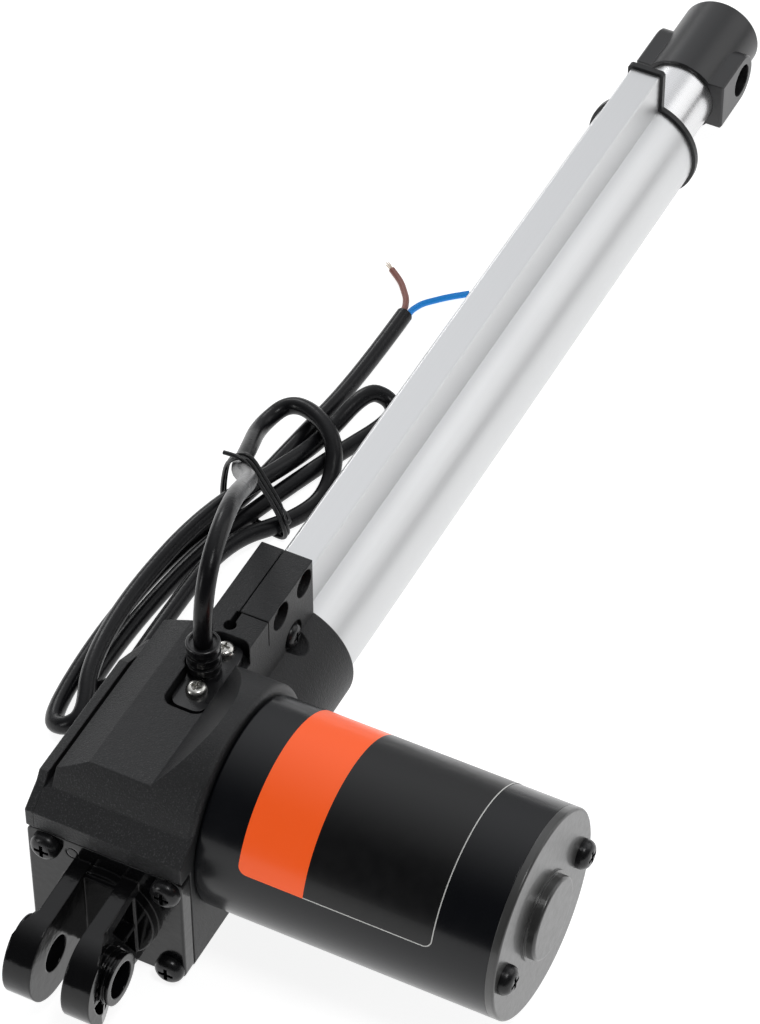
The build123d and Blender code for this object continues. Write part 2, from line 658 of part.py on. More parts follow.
# Spindle assembly: lead screw on two ball bearings, worm wheel with its hub, cross pin and sleeves
flange_x = bearing_front_x + running_gap
flange_width = 3.0
wheel_rear_x = motor_x - wheel_width / 2
hub_length = 6.0
hub_radius = 8.0
stop_width = 3.0
screw_end_x = nut_start_x + stroke + nut_reach + 3 * stop_width
with BuildPart() as lead_screw:
    with BuildSketch(Plane.YZ.offset(bearing_rear_x + 0.2)):
        Circle(journal_radius)
    extrude(amount=flange_x - bearing_rear_x - 0.2)
    with BuildSketch(Plane.YZ.offset(flange_x)):
        Circle(screw_radius + 1.5)
    extrude(amount=flange_width)
    with BuildSketch(Plane.YZ.offset(flange_x + flange_width)):
        Circle(screw_radius)
    extrude(amount=screw_end_x - stop_width - flange_x - flange_width)
    with BuildSketch(Plane.YZ.offset(screw_end_x - stop_width)):
        Circle(screw_radius - 2)
    extrude(amount=stop_width)
    with BuildSketch(Plane.XY.offset(-screw_radius)):
        with Locations((wheel_rear_x - hub_length / 2, 0)):
            Circle(cross_pin_radius + fit_gap)
    extrude(amount=2 * screw_radius, mode=Mode.SUBTRACT)
lead_screw.part.label = "lead_screw"
export_step(lead_screw.part, "parts/lead_screw.step")

with BuildPart() as screw_end_stop:
    with BuildSketch(Plane.YZ.offset(screw_end_x - stop_width)):
        Circle(rod_bore_radius - 2 * body_gap)
        Circle(screw_radius - 2 + fit_gap, mode=Mode.SUBTRACT)
    extrude(amount=stop_width)
screw_end_stop.part.label = "screw_end_stop"
export_step(screw_end_stop.part, "parts/screw_end_stop.step")

# The wheel's gashes are straight and lean with the worm's lead angle, one for each tooth
gash_half = worm_pitch / 4 + gear_backlash / 4
gash_slope = tan(radians(pressure_angle + 90 / wheel_teeth))
gash_floor = wheel_pitch_radius - dedendum
gash_top = wheel_tip_radius + 0.3
lean = radians(lead_angle)
with BuildPart() as worm_wheel:
    with BuildSketch(Plane.YZ.offset(wheel_rear_x)):
        Circle(wheel_tip_radius)
    extrude(amount=wheel_width)
    for tooth in range(wheel_teeth):
        turn = 360 / wheel_teeth * tooth
        gash_plane = Plane(
            origin=(motor_x, 0, 0),
            x_dir=Vector(sin(lean), cos(lean), 0).rotate(Axis.X, turn),
            z_dir=Vector(cos(lean), -sin(lean), 0).rotate(Axis.X, turn),
        )
        with BuildSketch(gash_plane):
            with BuildLine():
                Polyline(
                    (dedendum * gash_slope - gash_half, gash_floor), (-gash_half - 0.95 * gash_slope, gash_top),
                    (gash_half + 0.95 * gash_slope, gash_top), (gash_half - dedendum * gash_slope, gash_floor),
                    close=True,
                )
            make_face()
        extrude(amount=wheel_width * 0.75, both=True, mode=Mode.SUBTRACT)
    with BuildSketch(Plane.YZ.offset(wheel_rear_x)):
        Circle(hub_radius)
    extrude(amount=-hub_length)
    with BuildSketch(Plane.YZ.offset(wheel_rear_x - hub_length)):
        Circle(screw_radius + fit_gap)
    extrude(amount=hub_length + wheel_width, mode=Mode.SUBTRACT)
    with BuildSketch(Plane.XY.offset(-hub_radius)):
        with Locations((wheel_rear_x - hub_length / 2, 0)):
            Circle(cross_pin_radius + fit_gap)
    extrude(amount=2 * hub_radius, mode=Mode.SUBTRACT)
worm_wheel.part.label = "worm_wheel"
export_step(worm_wheel.part, "parts/worm_wheel.step")

with BuildPart() as wheel_cross_pin:
    with BuildSketch(Plane.XY.offset(-hub_radius + 0.4)):
        with Locations((wheel_rear_x - hub_length / 2, 0)):
            Circle(cross_pin_radius)
    extrude(amount=2 * hub_radius - 0.8)
wheel_cross_pin.part.label = "wheel_cross_pin"
export_step(wheel_cross_pin.part, "parts/wheel_cross_pin.step")

rear_sleeve_x = flange_x + flange_width + fit_gap
with BuildPart() as rear_sleeve:
    with BuildSketch(Plane.YZ.offset(rear_sleeve_x)):
        Circle(screw_radius + 2)
        Circle(screw_radius + fit_gap, mode=Mode.SUBTRACT)
    extrude(amount=wheel_rear_x - hub_length - fit_gap - rear_sleeve_x)
rear_sleeve.part.label = "rear_sleeve"
export_step(rear_sleeve.part, "parts/rear_sleeve.step")

front_sleeve_x = wheel_rear_x + wheel_width + fit_gap
with BuildPart() as front_sleeve:
    with BuildSketch(Plane.YZ.offset(front_sleeve_x)):
        Circle(screw_radius + 2)
        Circle(screw_radius + fit_gap, mode=Mode.SUBTRACT)
    extrude(amount=front_bearing_x - running_gap - front_sleeve_x)
front_sleeve.part.label = "front_sleeve"
export_step(front_sleeve.part, "parts/front_sleeve.step")

with BuildPart() as rear_thrust_bearing:
    with BuildSketch(Plane.YZ.offset(bearing_rear_x)):
        Circle(bearing_outer_radius)
        Circle(journal_radius + fit_gap, mode=Mode.SUBTRACT)
    extrude(amount=rear_bearing_width)
rear_thrust_bearing.part.label = "rear_thrust_bearing"
export_step(rear_thrust_bearing.part, "parts/rear_thrust_bearing.step")

with BuildPart() as front_spindle_bearing:
    with BuildSketch(Plane.YZ.offset(front_bearing_x)):
        Circle(bearing_outer_radius)
        Circle(screw_radius + fit_gap, mode=Mode.SUBTRACT)
    extrude(amount=front_bearing_width)
front_spindle_bearing.part.label = "front_spindle_bearing"
export_step(front_spindle_bearing.part, "parts/front_spindle_bearing.step")

# Travelling pieces: nut with its key in the channel, inner tube, pins and rod end
spigot_x = nut_start_x + nut_length
with BuildPart() as drive_nut:
    with BuildSketch(Plane.YZ.offset(nut_start_x)) as nut_profile:
        Circle(tube_bore_radius - body_gap)
        with Locations((0, key_top_z / 2)):
            Rectangle(2 * (channel_half - channel_wall - body_gap), key_top_z)
    extrude(amount=nut_length)
    with BuildSketch(Plane.YZ.offset(spigot_x)):
        Circle(rod_bore_radius - fit_gap)
    extrude(amount=nut_spigot_length)
    with BuildSketch(Plane.YZ.offset(nut_start_x)):
        Circle(screw_radius + running_gap)
    extrude(amount=nut_length + nut_spigot_length, mode=Mode.SUBTRACT)
    with BuildSketch(Plane.XY.offset(-rod_radius)):
        with Locations((spigot_x + nut_spigot_length / 2, 0)):
            Circle(cross_pin_radius + fit_gap)
    extrude(amount=2 * rod_radius, mode=Mode.SUBTRACT)
drive_nut.part.label = "drive_nut"
export_step(drive_nut.part, "parts/drive_nut.step")

rod_front_x = rod_end_rear_x + rod_socket_depth - running_gap
with BuildPart() as inner_tube:
    with BuildSketch(Plane.YZ.offset(spigot_x + fit_gap)):
        Circle(rod_radius)
        Circle(rod_bore_radius, mode=Mode.SUBTRACT)
    extrude(amount=rod_front_x - spigot_x - fit_gap)
    with BuildSketch(Plane.XY.offset(-rod_radius)):
        with Locations((spigot_x + nut_spigot_length / 2, 0)):
            Circle(cross_pin_radius + fit_gap)
    extrude(amount=2 * rod_radius, mode=Mode.SUBTRACT)
inner_tube.part.label = "inner_tube"
export_step(inner_tube.part, "parts/inner_tube.step")

with BuildPart() as nut_pins:
    for side in (-1, 1):
        with BuildSketch(Plane.XY.offset(side * (screw_radius + 1.2))):
            with Locations((spigot_x + nut_spigot_length / 2, 0)):
                Circle(cross_pin_radius)
        extrude(amount=side * (rod_radius - screw_radius - 1.4))
nut_pins.part.label = "nut_pins"
export_step(nut_pins.part, "parts/nut_pins.step")

# Rod end: black turned and milled piece, a cylinder with a flat-faced boss each side of the pin hole
with BuildPart() as rod_end:
    with BuildSketch(Plane.YZ.offset(rod_end_rear_x)):
        Circle(rod_end_radius)
    extrude(amount=rod_end_front_x - rod_end_rear_x)
    fillet(rod_end.faces().sort_by(Axis.X)[-1].edges(), 1.0)
    with BuildSketch(Plane.XZ.offset(-boss_half_width)) as boss:
        with Locations((front_pin_x, 0)):
            Circle(boss_half_height)
        with Locations(((rod_end_rear_x + front_pin_x) / 2, 0)):
            Rectangle(front_pin_x - rod_end_rear_x, 2 * boss_half_height)
    extrude(amount=2 * boss_half_width)
    for end in (0, -1):
        chamfer(rod_end.faces().filter_by(Axis.Y).sort_by(Axis.Y)[end].outer_wire().edges(), boss_edge)
    with BuildSketch(Plane.XZ.offset(-boss_half_width - 1)):
        with Locations((front_pin_x, 0)):
            Circle(pin_bore_radius)
    extrude(amount=2 * boss_half_width + 2, mode=Mode.SUBTRACT)
    with BuildSketch(Plane.YZ.offset(rod_end_rear_x)):
        Circle(rod_radius + fit_gap)
    extrude(amount=rod_socket_depth, mode=Mode.SUBTRACT)
rod_end.part.label = "rod_end"
export_step(rod_end.part, "parts/rod_end.step")

# Motor: drawn steel can with two arc magnets, wound armature, commutator, brushes and an end plate
can_front_y = motor_face_y
can_rear_y = can_front_y - can_length
can_bore_radius = motor_radius - can_wall
front_plate_y = can_front_y - can_wall - fit_gap
front_plate_thickness = 8.5
with BuildPart() as motor_can:
    with BuildSketch(Plane.XZ.offset(-can_front_y)):
        with Locations((motor_x, motor_z)):
            Circle(motor_radius)
    extrude(amount=can_length)
    with BuildSketch(Plane.XZ.offset(-can_front_y + can_wall)):
        with Locations((motor_x, motor_z)):
            Circle(can_bore_radius)
    extrude(amount=can_length - can_wall, mode=Mode.SUBTRACT)
    fillet(motor_can.faces().sort_by(Axis.Y)[-1].outer_wire().edges(), 1.0)
    with BuildSketch(Plane.XZ.offset(-can_front_y)):
        with Locations((motor_x, motor_z)):
            Circle(rotor_shaft_radius + 1.5)
        with Locations((motor_x - motor_bolt_offset, motor_z), (motor_x + motor_bolt_offset, motor_z)):
            Circle(m4_radius + fit_gap)
    extrude(amount=can_wall, mode=Mode.SUBTRACT)
motor_can.part.label = "motor_can"
export_step(motor_can.part, "parts/motor_can.step")

with BuildPart() as motor_front_plate:
    with BuildSketch(Plane.XZ.offset(-front_plate_y)):
        with Locations((motor_x, motor_z)):
            Circle(can_bore_radius - fit_gap)
    extrude(amount=front_plate_thickness)
    with BuildSketch(Plane.XZ.offset(-front_plate_y)):
        with Locations((motor_x, motor_z)):
            Circle(bearing_outer_radius + fit_gap)
    extrude(amount=rear_bearing_width + fit_gap, mode=Mode.SUBTRACT)
    with BuildSketch(Plane.XZ.offset(-front_plate_y)):
        with Locations((motor_x, motor_z)):
            Circle(rotor_shaft_radius + 1.5)
    extrude(amount=front_plate_thickness, mode=Mode.SUBTRACT)
    with BuildSketch(Plane.XZ.offset(-front_plate_y)):
        with Locations((motor_x - motor_bolt_offset, motor_z), (motor_x + motor_bolt_offset, motor_z)):
            Circle(m4_radius + fit_gap)
    extrude(amount=front_plate_thickness - 1, mode=Mode.SUBTRACT)
motor_front_plate.part.label = "motor_front_plate"
export_step(motor_front_plate.part, "parts/motor_front_plate.step")

motor_bolt_seat_y = motor_face_y + motor_bolt_land
motor_bolt = pan_screw(
    m4_head_radius, m4_head_height, m4_radius, motor_bolt_land + can_wall + front_plate_thickness - m4_radius
)
with BuildPart() as motor_bolts:
    for side in (-1, 1):
        seat = Plane(
            origin=(motor_x + side * motor_bolt_offset, motor_bolt_seat_y, motor_z),
            x_dir=(1, 0, 0), z_dir=(0, 1, 0),
        )
        add(seat.location * motor_bolt)
motor_bolts.part.label = "motor_bolts"
export_step(motor_bolts.part, "parts/motor_bolts.step")

with BuildPart() as motor_front_bearing:
    with BuildSketch(Plane.XZ.offset(-front_plate_y)):
        with Locations((motor_x, motor_z)):
            Circle(bearing_outer_radius)
            Circle(rotor_shaft_radius + fit_gap, mode=Mode.SUBTRACT)
    extrude(amount=rear_bearing_width)
motor_front_bearing.part.label = "motor_front_bearing"
export_step(motor_front_bearing.part, "parts/motor_front_bearing.step")

magnet_outer_radius = can_bore_radius - fit_gap
magnet_inner_radius = magnet_outer_radius - magnet_thickness
armature_radius = magnet_inner_radius - air_gap
commutator_front_y = can_rear_y + bush_inner_length + body_gap + commutator_length
armature_rear_y = commutator_front_y + body_gap + winding_reach
armature_front_y = front_plate_y - front_plate_thickness - winding_gap - winding_reach
armature_length = armature_front_y - armature_rear_y
magnet_front_y = armature_front_y + magnet_overhang
magnet_length = armature_length + 2 * magnet_overhang
with BuildPart() as motor_magnets:
    for pole in (-90, 90):
        with BuildSketch(Plane.XZ.offset(-magnet_front_y)) as magnet:
            with Locations((motor_x, motor_z)):
                with BuildLine():
                    outer_arc = CenterArc(
                        (motor_x, motor_z), magnet_outer_radius, pole - magnet_angle / 2, magnet_angle
                    )
                    inner_arc = CenterArc(
                        (motor_x, motor_z), magnet_inner_radius, pole - magnet_angle / 2, magnet_angle
                    )
                    Line(outer_arc @ 0, inner_arc @ 0)
                    Line(outer_arc @ 1, inner_arc @ 1)
            make_face()
        extrude(amount=magnet_length)
motor_magnets.part.label = "motor_magnets"
export_step(motor_magnets.part, "parts/motor_magnets.step")

slot_depth = armature_radius * 0.42
slot_width = 2 * pi * armature_radius * 0.5 / armature_slots * 0.62
slot_mid_radius = armature_radius - 1.6 - slot_depth / 2
with BuildPart() as armature_core:
    with BuildSketch(Plane.XZ.offset(-armature_front_y)) as lamination:
        with Locations((motor_x, motor_z)):
            Circle(armature_radius)
            Circle(rotor_shaft_radius + fit_gap, mode=Mode.SUBTRACT)
            with PolarLocations(slot_mid_radius, armature_slots):
                Rectangle(slot_depth, slot_width, mode=Mode.SUBTRACT)
            with PolarLocations(armature_radius - 0.9, armature_slots):
                Rectangle(2.4, 1.4, mode=Mode.SUBTRACT)
    extrude(amount=armature_length)
armature_core.part.label = "armature_core"
export_step(armature_core.part, "parts/armature_core.step")

with BuildPart() as armature_windings:
    with BuildSketch(Plane.XZ.offset(-armature_front_y - winding_reach)) as bars:
        with Locations((motor_x, motor_z)):
            with PolarLocations(slot_mid_radius, armature_slots):
                Rectangle(slot_depth - 4 * fit_gap, slot_width - 4 * fit_gap)
    extrude(amount=armature_length + 2 * winding_reach)
    for ring_y in (armature_front_y + winding_reach, armature_rear_y - running_gap):
        with BuildSketch(Plane.XZ.offset(-ring_y)):
            with Locations((motor_x, motor_z)):
                Circle(slot_mid_radius + slot_depth / 2)
                Circle(rotor_shaft_radius + 2.5, mode=Mode.SUBTRACT)
        extrude(amount=winding_reach - running_gap)
armature_windings.part.label = "armature_windings"
export_step(armature_windings.part, "parts/armature_windings.step")

with BuildPart() as commutator:
    with BuildSketch(Plane.XZ.offset(-commutator_front_y)) as bars:
        with Locations((motor_x, motor_z)):
            Circle(commutator_radius)
            Circle(rotor_shaft_radius + fit_gap, mode=Mode.SUBTRACT)
            with PolarLocations(commutator_radius, armature_slots):
                Rectangle(1.2, 0.6, mode=Mode.SUBTRACT)
    extrude(amount=commutator_length)
commutator.part.label = "commutator"
export_step(commutator.part, "parts/commutator.step")

bush_rear_y = can_rear_y - end_plate_thickness - bearing_cap_height + 1.8
shaft_rear_y = bush_rear_y + 0.3
worm_front_y = worm_end_y
worm_rear_y = -worm_end_y
with BuildPart() as rotor_shaft:
    with BuildSketch(Plane.XZ.offset(-shaft_rear_y)):
        with Locations((motor_x, motor_z)):
            Circle(rotor_shaft_radius)
    extrude(amount=-(worm_rear_y - fit_gap - shaft_rear_y))
    with BuildSketch(Plane.XZ.offset(-worm_rear_y + fit_gap)):
        with Locations((motor_x, motor_z)):
            Circle(worm_journal_radius)
    extrude(amount=-(worm_bush_y + worm_bush_length - worm_rear_y))
rotor_shaft.part.label = "rotor_shaft"
export_step(rotor_shaft.part, "parts/rotor_shaft.step")

# The worm's thread is a straight-sided rack form swept along a right-hand helix
thread_half = worm_pitch / 4 - gear_backlash / 4
thread_slope = tan(radians(pressure_angle))
thread_sink = 0.05
thread_start_y = -worm_thread_turns * worm_pitch / 2
with BuildPart() as worm:
    with BuildSketch(Plane.XZ.offset(-worm_front_y)):
        with Locations((motor_x, motor_z)):
            Circle(worm_root_radius)
    extrude(amount=worm_front_y - worm_rear_y)
    with BuildLine() as thread_path:
        Helix(
            worm_pitch, worm_thread_turns * worm_pitch, worm_root_radius - thread_sink,
            center=(motor_x, thread_start_y, motor_z), direction=(0, 1, 0),
        )
    thread_start = Plane(origin=(motor_x, thread_start_y, motor_z), x_dir=(0, 0, 1), z_dir=(-1, 0, 0))
    with BuildSketch(thread_start):
        with BuildLine():
            Polyline(
                (worm_root_radius - thread_sink, -thread_half - (dedendum + thread_sink) * thread_slope),
                (worm_tip_radius, addendum * thread_slope - thread_half),
                (worm_tip_radius, thread_half - addendum * thread_slope),
                (worm_root_radius - thread_sink, thread_half + (dedendum + thread_sink) * thread_slope),
                close=True,
            )
        make_face()
    sweep(path=thread_path.line, is_frenet=True)
    with BuildSketch(Plane.XZ.offset(-worm_front_y)):
        with Locations((motor_x, motor_z)):
            Circle(worm_journal_radius + fit_gap)
    extrude(amount=worm_front_y - worm_rear_y, mode=Mode.SUBTRACT)
worm.part.label = "worm"
export_step(worm.part, "parts/worm.step")

with BuildPart() as worm_end_bush:
    with BuildSketch(Plane.XZ.offset(-worm_bush_y - worm_bush_length)):
        with Locations((motor_x, motor_z)):
            Circle(worm_bush_radius)
            Circle(worm_journal_radius + fit_gap, mode=Mode.SUBTRACT)
    extrude(amount=worm_bush_length)
worm_end_bush.part.label = "worm_end_bush"
export_step(worm_end_bush.part, "parts/worm_end_bush.step")

with BuildPart() as motor_rear_bush:
    with BuildSketch(Plane.XZ.offset(-can_rear_y - bush_inner_length)):
        with Locations((motor_x, motor_z)):
            Circle(rear_bush_radius)
            Circle(rotor_shaft_radius + fit_gap, mode=Mode.SUBTRACT)
    extrude(amount=can_rear_y + bush_inner_length - bush_rear_y)
motor_rear_bush.part.label = "motor_rear_bush"
export_step(motor_rear_bush.part, "parts/motor_rear_bush.step")

holder_thickness = 3.0
holder_front_y = can_rear_y + fit_gap + holder_thickness
brush_length = 9.0
brush_size = 5.0
post_length = 7.0
with BuildPart() as brush_holder:
    with BuildSketch(Plane.XZ.offset(-holder_front_y)):
        with Locations((motor_x, motor_z)):
            Circle(can_bore_radius - fit_gap)
            Circle(commutator_radius + 2, mode=Mode.SUBTRACT)
    extrude(amount=holder_thickness)
    with BuildSketch(Plane.XZ.offset(-holder_front_y)):
        with Locations((motor_x - end_screw_circle / 2, motor_z), (motor_x + end_screw_circle / 2, motor_z)):
            Circle(3.4)
        with Locations(
            (motor_x, motor_z - commutator_radius - 3 - brush_length / 2),
            (motor_x, motor_z + commutator_radius + 3 + brush_length / 2),
        ):
            Rectangle(brush_size + 2, brush_length)
    extrude(amount=-post_length)
    with BuildSketch(Plane.XZ.offset(-holder_front_y)):
        with Locations(
            (motor_x, motor_z - commutator_radius - 3 - brush_length / 2),
            (motor_x, motor_z + commutator_radius + 3 + brush_length / 2),
        ):
            Rectangle(brush_size + 2 * fit_gap, brush_length)
    extrude(amount=-brush_size - 2 * fit_gap, mode=Mode.SUBTRACT)
    with BuildSketch(Plane.XZ.offset(-holder_front_y + -post_length)):
        with Locations((motor_x - end_screw_circle / 2, motor_z), (motor_x + end_screw_circle / 2, motor_z)):
            Circle(m4_radius + fit_gap)
    extrude(amount=post_length + holder_thickness, mode=Mode.SUBTRACT)
brush_holder.part.label = "brush_holder"
export_step(brush_holder.part, "parts/brush_holder.step")

with BuildPart() as carbon_brushes:
    for side in (-1, 1):
        with BuildSketch(Plane.XZ.offset(-holder_front_y - fit_gap)):
            with Locations((motor_x, motor_z + side * (commutator_radius + running_gap + brush_length / 2))):
                Rectangle(brush_size, brush_length)
        extrude(amount=-brush_size)
carbon_brushes.part.label = "carbon_brushes"
export_step(carbon_brushes.part, "parts/carbon_brushes.step")

with BuildPart() as motor_end_plate:
    with BuildSketch(Plane.XZ.offset(-can_rear_y)):
        with Locations((motor_x, motor_z)):
            Circle(motor_radius)
    extrude(amount=end_plate_thickness)
    fillet(motor_end_plate.faces().sort_by(Axis.Y)[0].edges(), 0.7)
    with BuildSketch(Plane.XZ.offset(-can_rear_y + end_plate_thickness)):
        with Locations((motor_x, motor_z)):
            Circle(bearing_cap_radius)
    extrude(amount=bearing_cap_height)
    fillet(motor_end_plate.faces().sort_by(Axis.Y)[0].edges(), 0.8)
    with BuildSketch(Plane.XZ.offset(-can_rear_y + end_plate_thickness)):
        with Locations((motor_x, motor_z)):
            Circle(bearing_cap_radius + 0.9)
    extrude(amount=0.5)
    with BuildSketch(Plane.XZ.offset(-can_rear_y)):
        with Locations((motor_x, motor_z)):
            Circle(rear_bush_radius + bush_seat_wall)
    extrude(amount=-bush_inner_length)
    with BuildSketch(Plane.XZ.offset(-can_rear_y - bush_inner_length)):
        with Locations((motor_x, motor_z)):
            Circle(rear_bush_radius + fit_gap)
    extrude(amount=can_rear_y + bush_inner_length - bush_rear_y, mode=Mode.SUBTRACT)
    with BuildSketch(Plane.XZ.offset(-can_rear_y)):
        with Locations((motor_x - end_screw_circle / 2, motor_z), (motor_x + end_screw_circle / 2, motor_z)):
            Circle(m4_radius + fit_gap)
    extrude(amount=end_plate_thickness, mode=Mode.SUBTRACT)
motor_end_plate.part.label = "motor_end_plate"
export_step(motor_end_plate.part, "parts/motor_end_plate.step")

end_screw = pan_screw(
    m4_pan_radius, m4_pan_height, m4_radius, end_plate_thickness + holder_thickness + post_length - 1.5
)
with BuildPart() as motor_end_screws:
    for side in (-1, 1):
        seat = Plane(
            origin=(motor_x + side * end_screw_circle / 2, can_rear_y - end_plate_thickness, motor_z),
            x_dir=(1, 0, 0), z_dir=(0, -1, 0),
        )
        add(seat.location * end_screw)
motor_end_screws.part.label = "motor_end_screws"
export_step(motor_end_screws.part, "parts/motor_end_screws.step")

# Cable gland: rubber flange with a ribbed boot, held in its pocket by two bright screws
boot_foot_z = gland_floor_z + gland_flange_thickness
boot_rib_pitch = (gland_top_z - boot_foot_z) / boot_ribs
with BuildPart() as cable_gland:
    with BuildSketch(Plane.XY.offset(gland_floor_z)) as flange:
        with Locations((gland_flange_x, gland_screw_y)):
            RectangleRounded(gland_flange_length, gland_flange_width, gland_flange_corner)
        with Locations(*gland_screw_spots):
            Circle(m3_radius + fit_gap, mode=Mode.SUBTRACT)
    extrude(amount=gland_flange_thickness)
    with BuildSketch(Plane.XY.offset(boot_foot_z)):
        with Locations((gland_x, gland_y)):
            Circle(boot_radius - boot_groove)
    extrude(amount=gland_top_z - boot_foot_z)
    for rib in range(boot_ribs):
        with BuildSketch(Plane.XY.offset(boot_foot_z + (rib + 0.45) * boot_rib_pitch)):
            with Locations((gland_x, gland_y)):
                Circle(boot_radius)
        extrude(amount=boot_rib_pitch * 0.55)
    fillet(cable_gland.faces().sort_by(Axis.Z)[-1].outer_wire().edges(), 0.5)
    with BuildSketch(Plane.XY.offset(gland_top_z)):
        with Locations((gland_x, gland_y)):
            Circle(boot_cup_radius)
    extrude(amount=-boot_cup_depth, mode=Mode.SUBTRACT)
cable_gland.part.label = "cable_gland"
export_step(cable_gland.part, "parts/cable_gland.step")

gland_screw = pan_screw(m3_head_radius, m3_head_height, m3_radius - fit_gap, gland_screw_length)
with BuildPart() as gland_screws:
    for spot_x, spot_y in gland_screw_spots:
        seat = Plane(origin=(spot_x, spot_y, boot_foot_z))
        add(seat.location * gland_screw)
gland_screws.part.label = "gland_screws"
export_step(gland_screws.part, "parts/gland_screws.step")

# Power cord: it climbs out of the boot, arches over to the floor beside the tube, and lies there in a
# flat bundle of long bights held by one tie, with its last stretch free and cut off bare
cord_start_z = gland_top_z - boot_cup_depth
cord_points = [
    (gland_x, gland_y, cord_start_z), (gland_x, gland_y, 63), (97, 5, 73), (127, 18.5, 39),
    (148, 33.8, 8), (162.5, 47.4, -7.2), (178, 47.8, -10.6), (198, 53.2, -14.5),
    (211, 46.8, -11), (200.5, 31, -8.7), (186, 24.4, -16.5), (171, 26.5, -16.5),
    (151, 35, -16.5), (120, 38.8, -14), (94, 40, -11), (89.8, 45.3, -13.2),
    (93.6, 50.5, -16.5), (120, 49.2, -16.5), (150, 45.8, -16.5), (172, 38.2, -15.1),
    (198, 30.2, -16.5), (220, 20.9, -16.5), (224.4, 25.4, -14.2), (221, 31.2, -10.9),
    (203, 35.8, -16.5), (183, 38.8, -11.6), (155, 44, -9.7), (122, 51.6, -11.1),
    (93, 49.2, -7.6), (78, 45.2, -9.6), (73.8, 50.6, -12.6), (77.6, 56.1, -16.5),
    (112, 55.2, -16.5), (146, 52.6, -16.5), (172, 44, -15.1), (200, 41.6, -16.5),
    (228, 38, -16.5), (258.5, 38, -16.5),
]
cord_corners = [Vector(*point) for point in cord_points]
cord_bends = []
for before, corner, after in zip(cord_corners, cord_corners[1:], cord_corners[2:]):
    half_turn = radians((corner - before).get_angle(after - corner)) / 2
    shorter_run = min((corner - before).length, (after - corner).length)
    cord_bends.append(0.45 * shorter_run / tan(half_turn))
print("cord bend radii", [round(bend, 1) for bend in cord_bends])
with BuildPart() as power_cord:
    with BuildLine() as cord_route:
        FilletPolyline(*cord_corners, radius=cord_bends)
    with BuildSketch(Plane.XY.offset(cord_start_z)):
        with Locations((gland_x, gland_y)):
            Circle(cord_radius)
    sweep(path=cord_route.wires()[0])
cord_length = cord_route.wires()[0].length
print("cord length", round(cord_length, 1), "volume ratio",
      round(power_cord.part.volume / (pi * cord_radius**2 * cord_length), 4))
power_cord.part.label = "power_cord"
export_step(power_cord.part, "parts/power_cord.step")

# The two cores stand out of the cut end of the cord and part from each other
cord_end = cord_corners[-1]
core_offset = core_radius + 0.1
core_sections = [
    ("brown_core", core_offset, [(6.5, 2.6, -0.3), (13.0, 7.6, -1.2), (16.6, 12.4, -1.4)]),
    ("blue_core", -core_offset, [(7.0, -2.2, -0.6), (13.5, -7.4, -1.3), (17.6, -12.2, -1.4)]),
]
for core_name, core_side, core_steps in core_sections:
    core_start = cord_end + Vector(0, core_side, 0)
    core_corners = [core_start, core_start + Vector(2.6, 0, 0)]
    core_corners += [cord_end + Vector(*step) for step in core_steps]
    core_bends = []
    for before, corner, after in zip(core_corners, core_corners[1:], core_corners[2:]):
        half_turn = radians((corner - before).get_angle(after - corner)) / 2
        shorter_run = min((corner - before).length, (after - corner).length)
        core_bends.append(0.45 * shorter_run / tan(half_turn))
    with BuildPart() as core:
        with BuildLine() as core_route:
            FilletPolyline(*core_corners, radius=core_bends)
        with BuildSketch(Plane(origin=core_start, x_dir=(0, 1, 0), z_dir=(1, 0, 0))):
            Circle(core_radius)
        sweep(path=core_route.wires()[0])
    core.part.label = core_name
    export_step(core.part, f"parts/{core_name}.step")

# Wire tie: a plastic-covered wire wound round the four strands, its ends twisted together
tie_x = 170.0
tie_mid_y = 43.4
tie_half_span = 8.6
tie_top_z = -4.9
tie_low_z = -18.9
tie_width = 3.0
tie_thickness = 0.8
tie_tail_z = -9.2
tie_near_y = tie_mid_y - tie_half_span
tie_tail_start = Vector(tie_x, tie_near_y + tie_thickness / 2, tie_tail_z)
tie_tail_points = [
    tie_tail_start, tie_tail_start + Vector(-2.0, -3.0, 2.4),
    tie_tail_start + Vector(-8.0, -5.2, 0.8), tie_tail_start + Vector(-15.0, -7.2, -0.2),
]
with BuildPart() as cord_tie:
    with BuildSketch(Plane.YZ.offset(tie_x - tie_width / 2)) as band:
        with Locations((tie_mid_y, (tie_low_z + tie_top_z) / 2)):
            RectangleRounded(2 * tie_half_span, tie_top_z - tie_low_z, 3.0)
    extrude(amount=tie_width)
    with BuildSketch(Plane.YZ.offset(tie_x - tie_width / 2)) as band_inside:
        with Locations((tie_mid_y, (tie_low_z + tie_top_z) / 2)):
            RectangleRounded(
                2 * (tie_half_span - tie_thickness), tie_top_z - tie_low_z - 2 * tie_thickness, 2.2
            )
    extrude(amount=tie_width, mode=Mode.SUBTRACT)
    with BuildLine() as tie_tail:
        FilletPolyline(*tie_tail_points, radius=[2.5, 5])
    with BuildSketch(Plane(origin=tie_tail_start, z_dir=tie_tail_points[1] - tie_tail_start)):
        Circle(tie_thickness)
    sweep(path=tie_tail.wires()[0])
cord_tie.part.label = "cord_tie"
export_step(cord_tie.part, "parts/cord_tie.step")
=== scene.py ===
import math

import bmesh
import bpy
from mathutils import Matrix, Vector


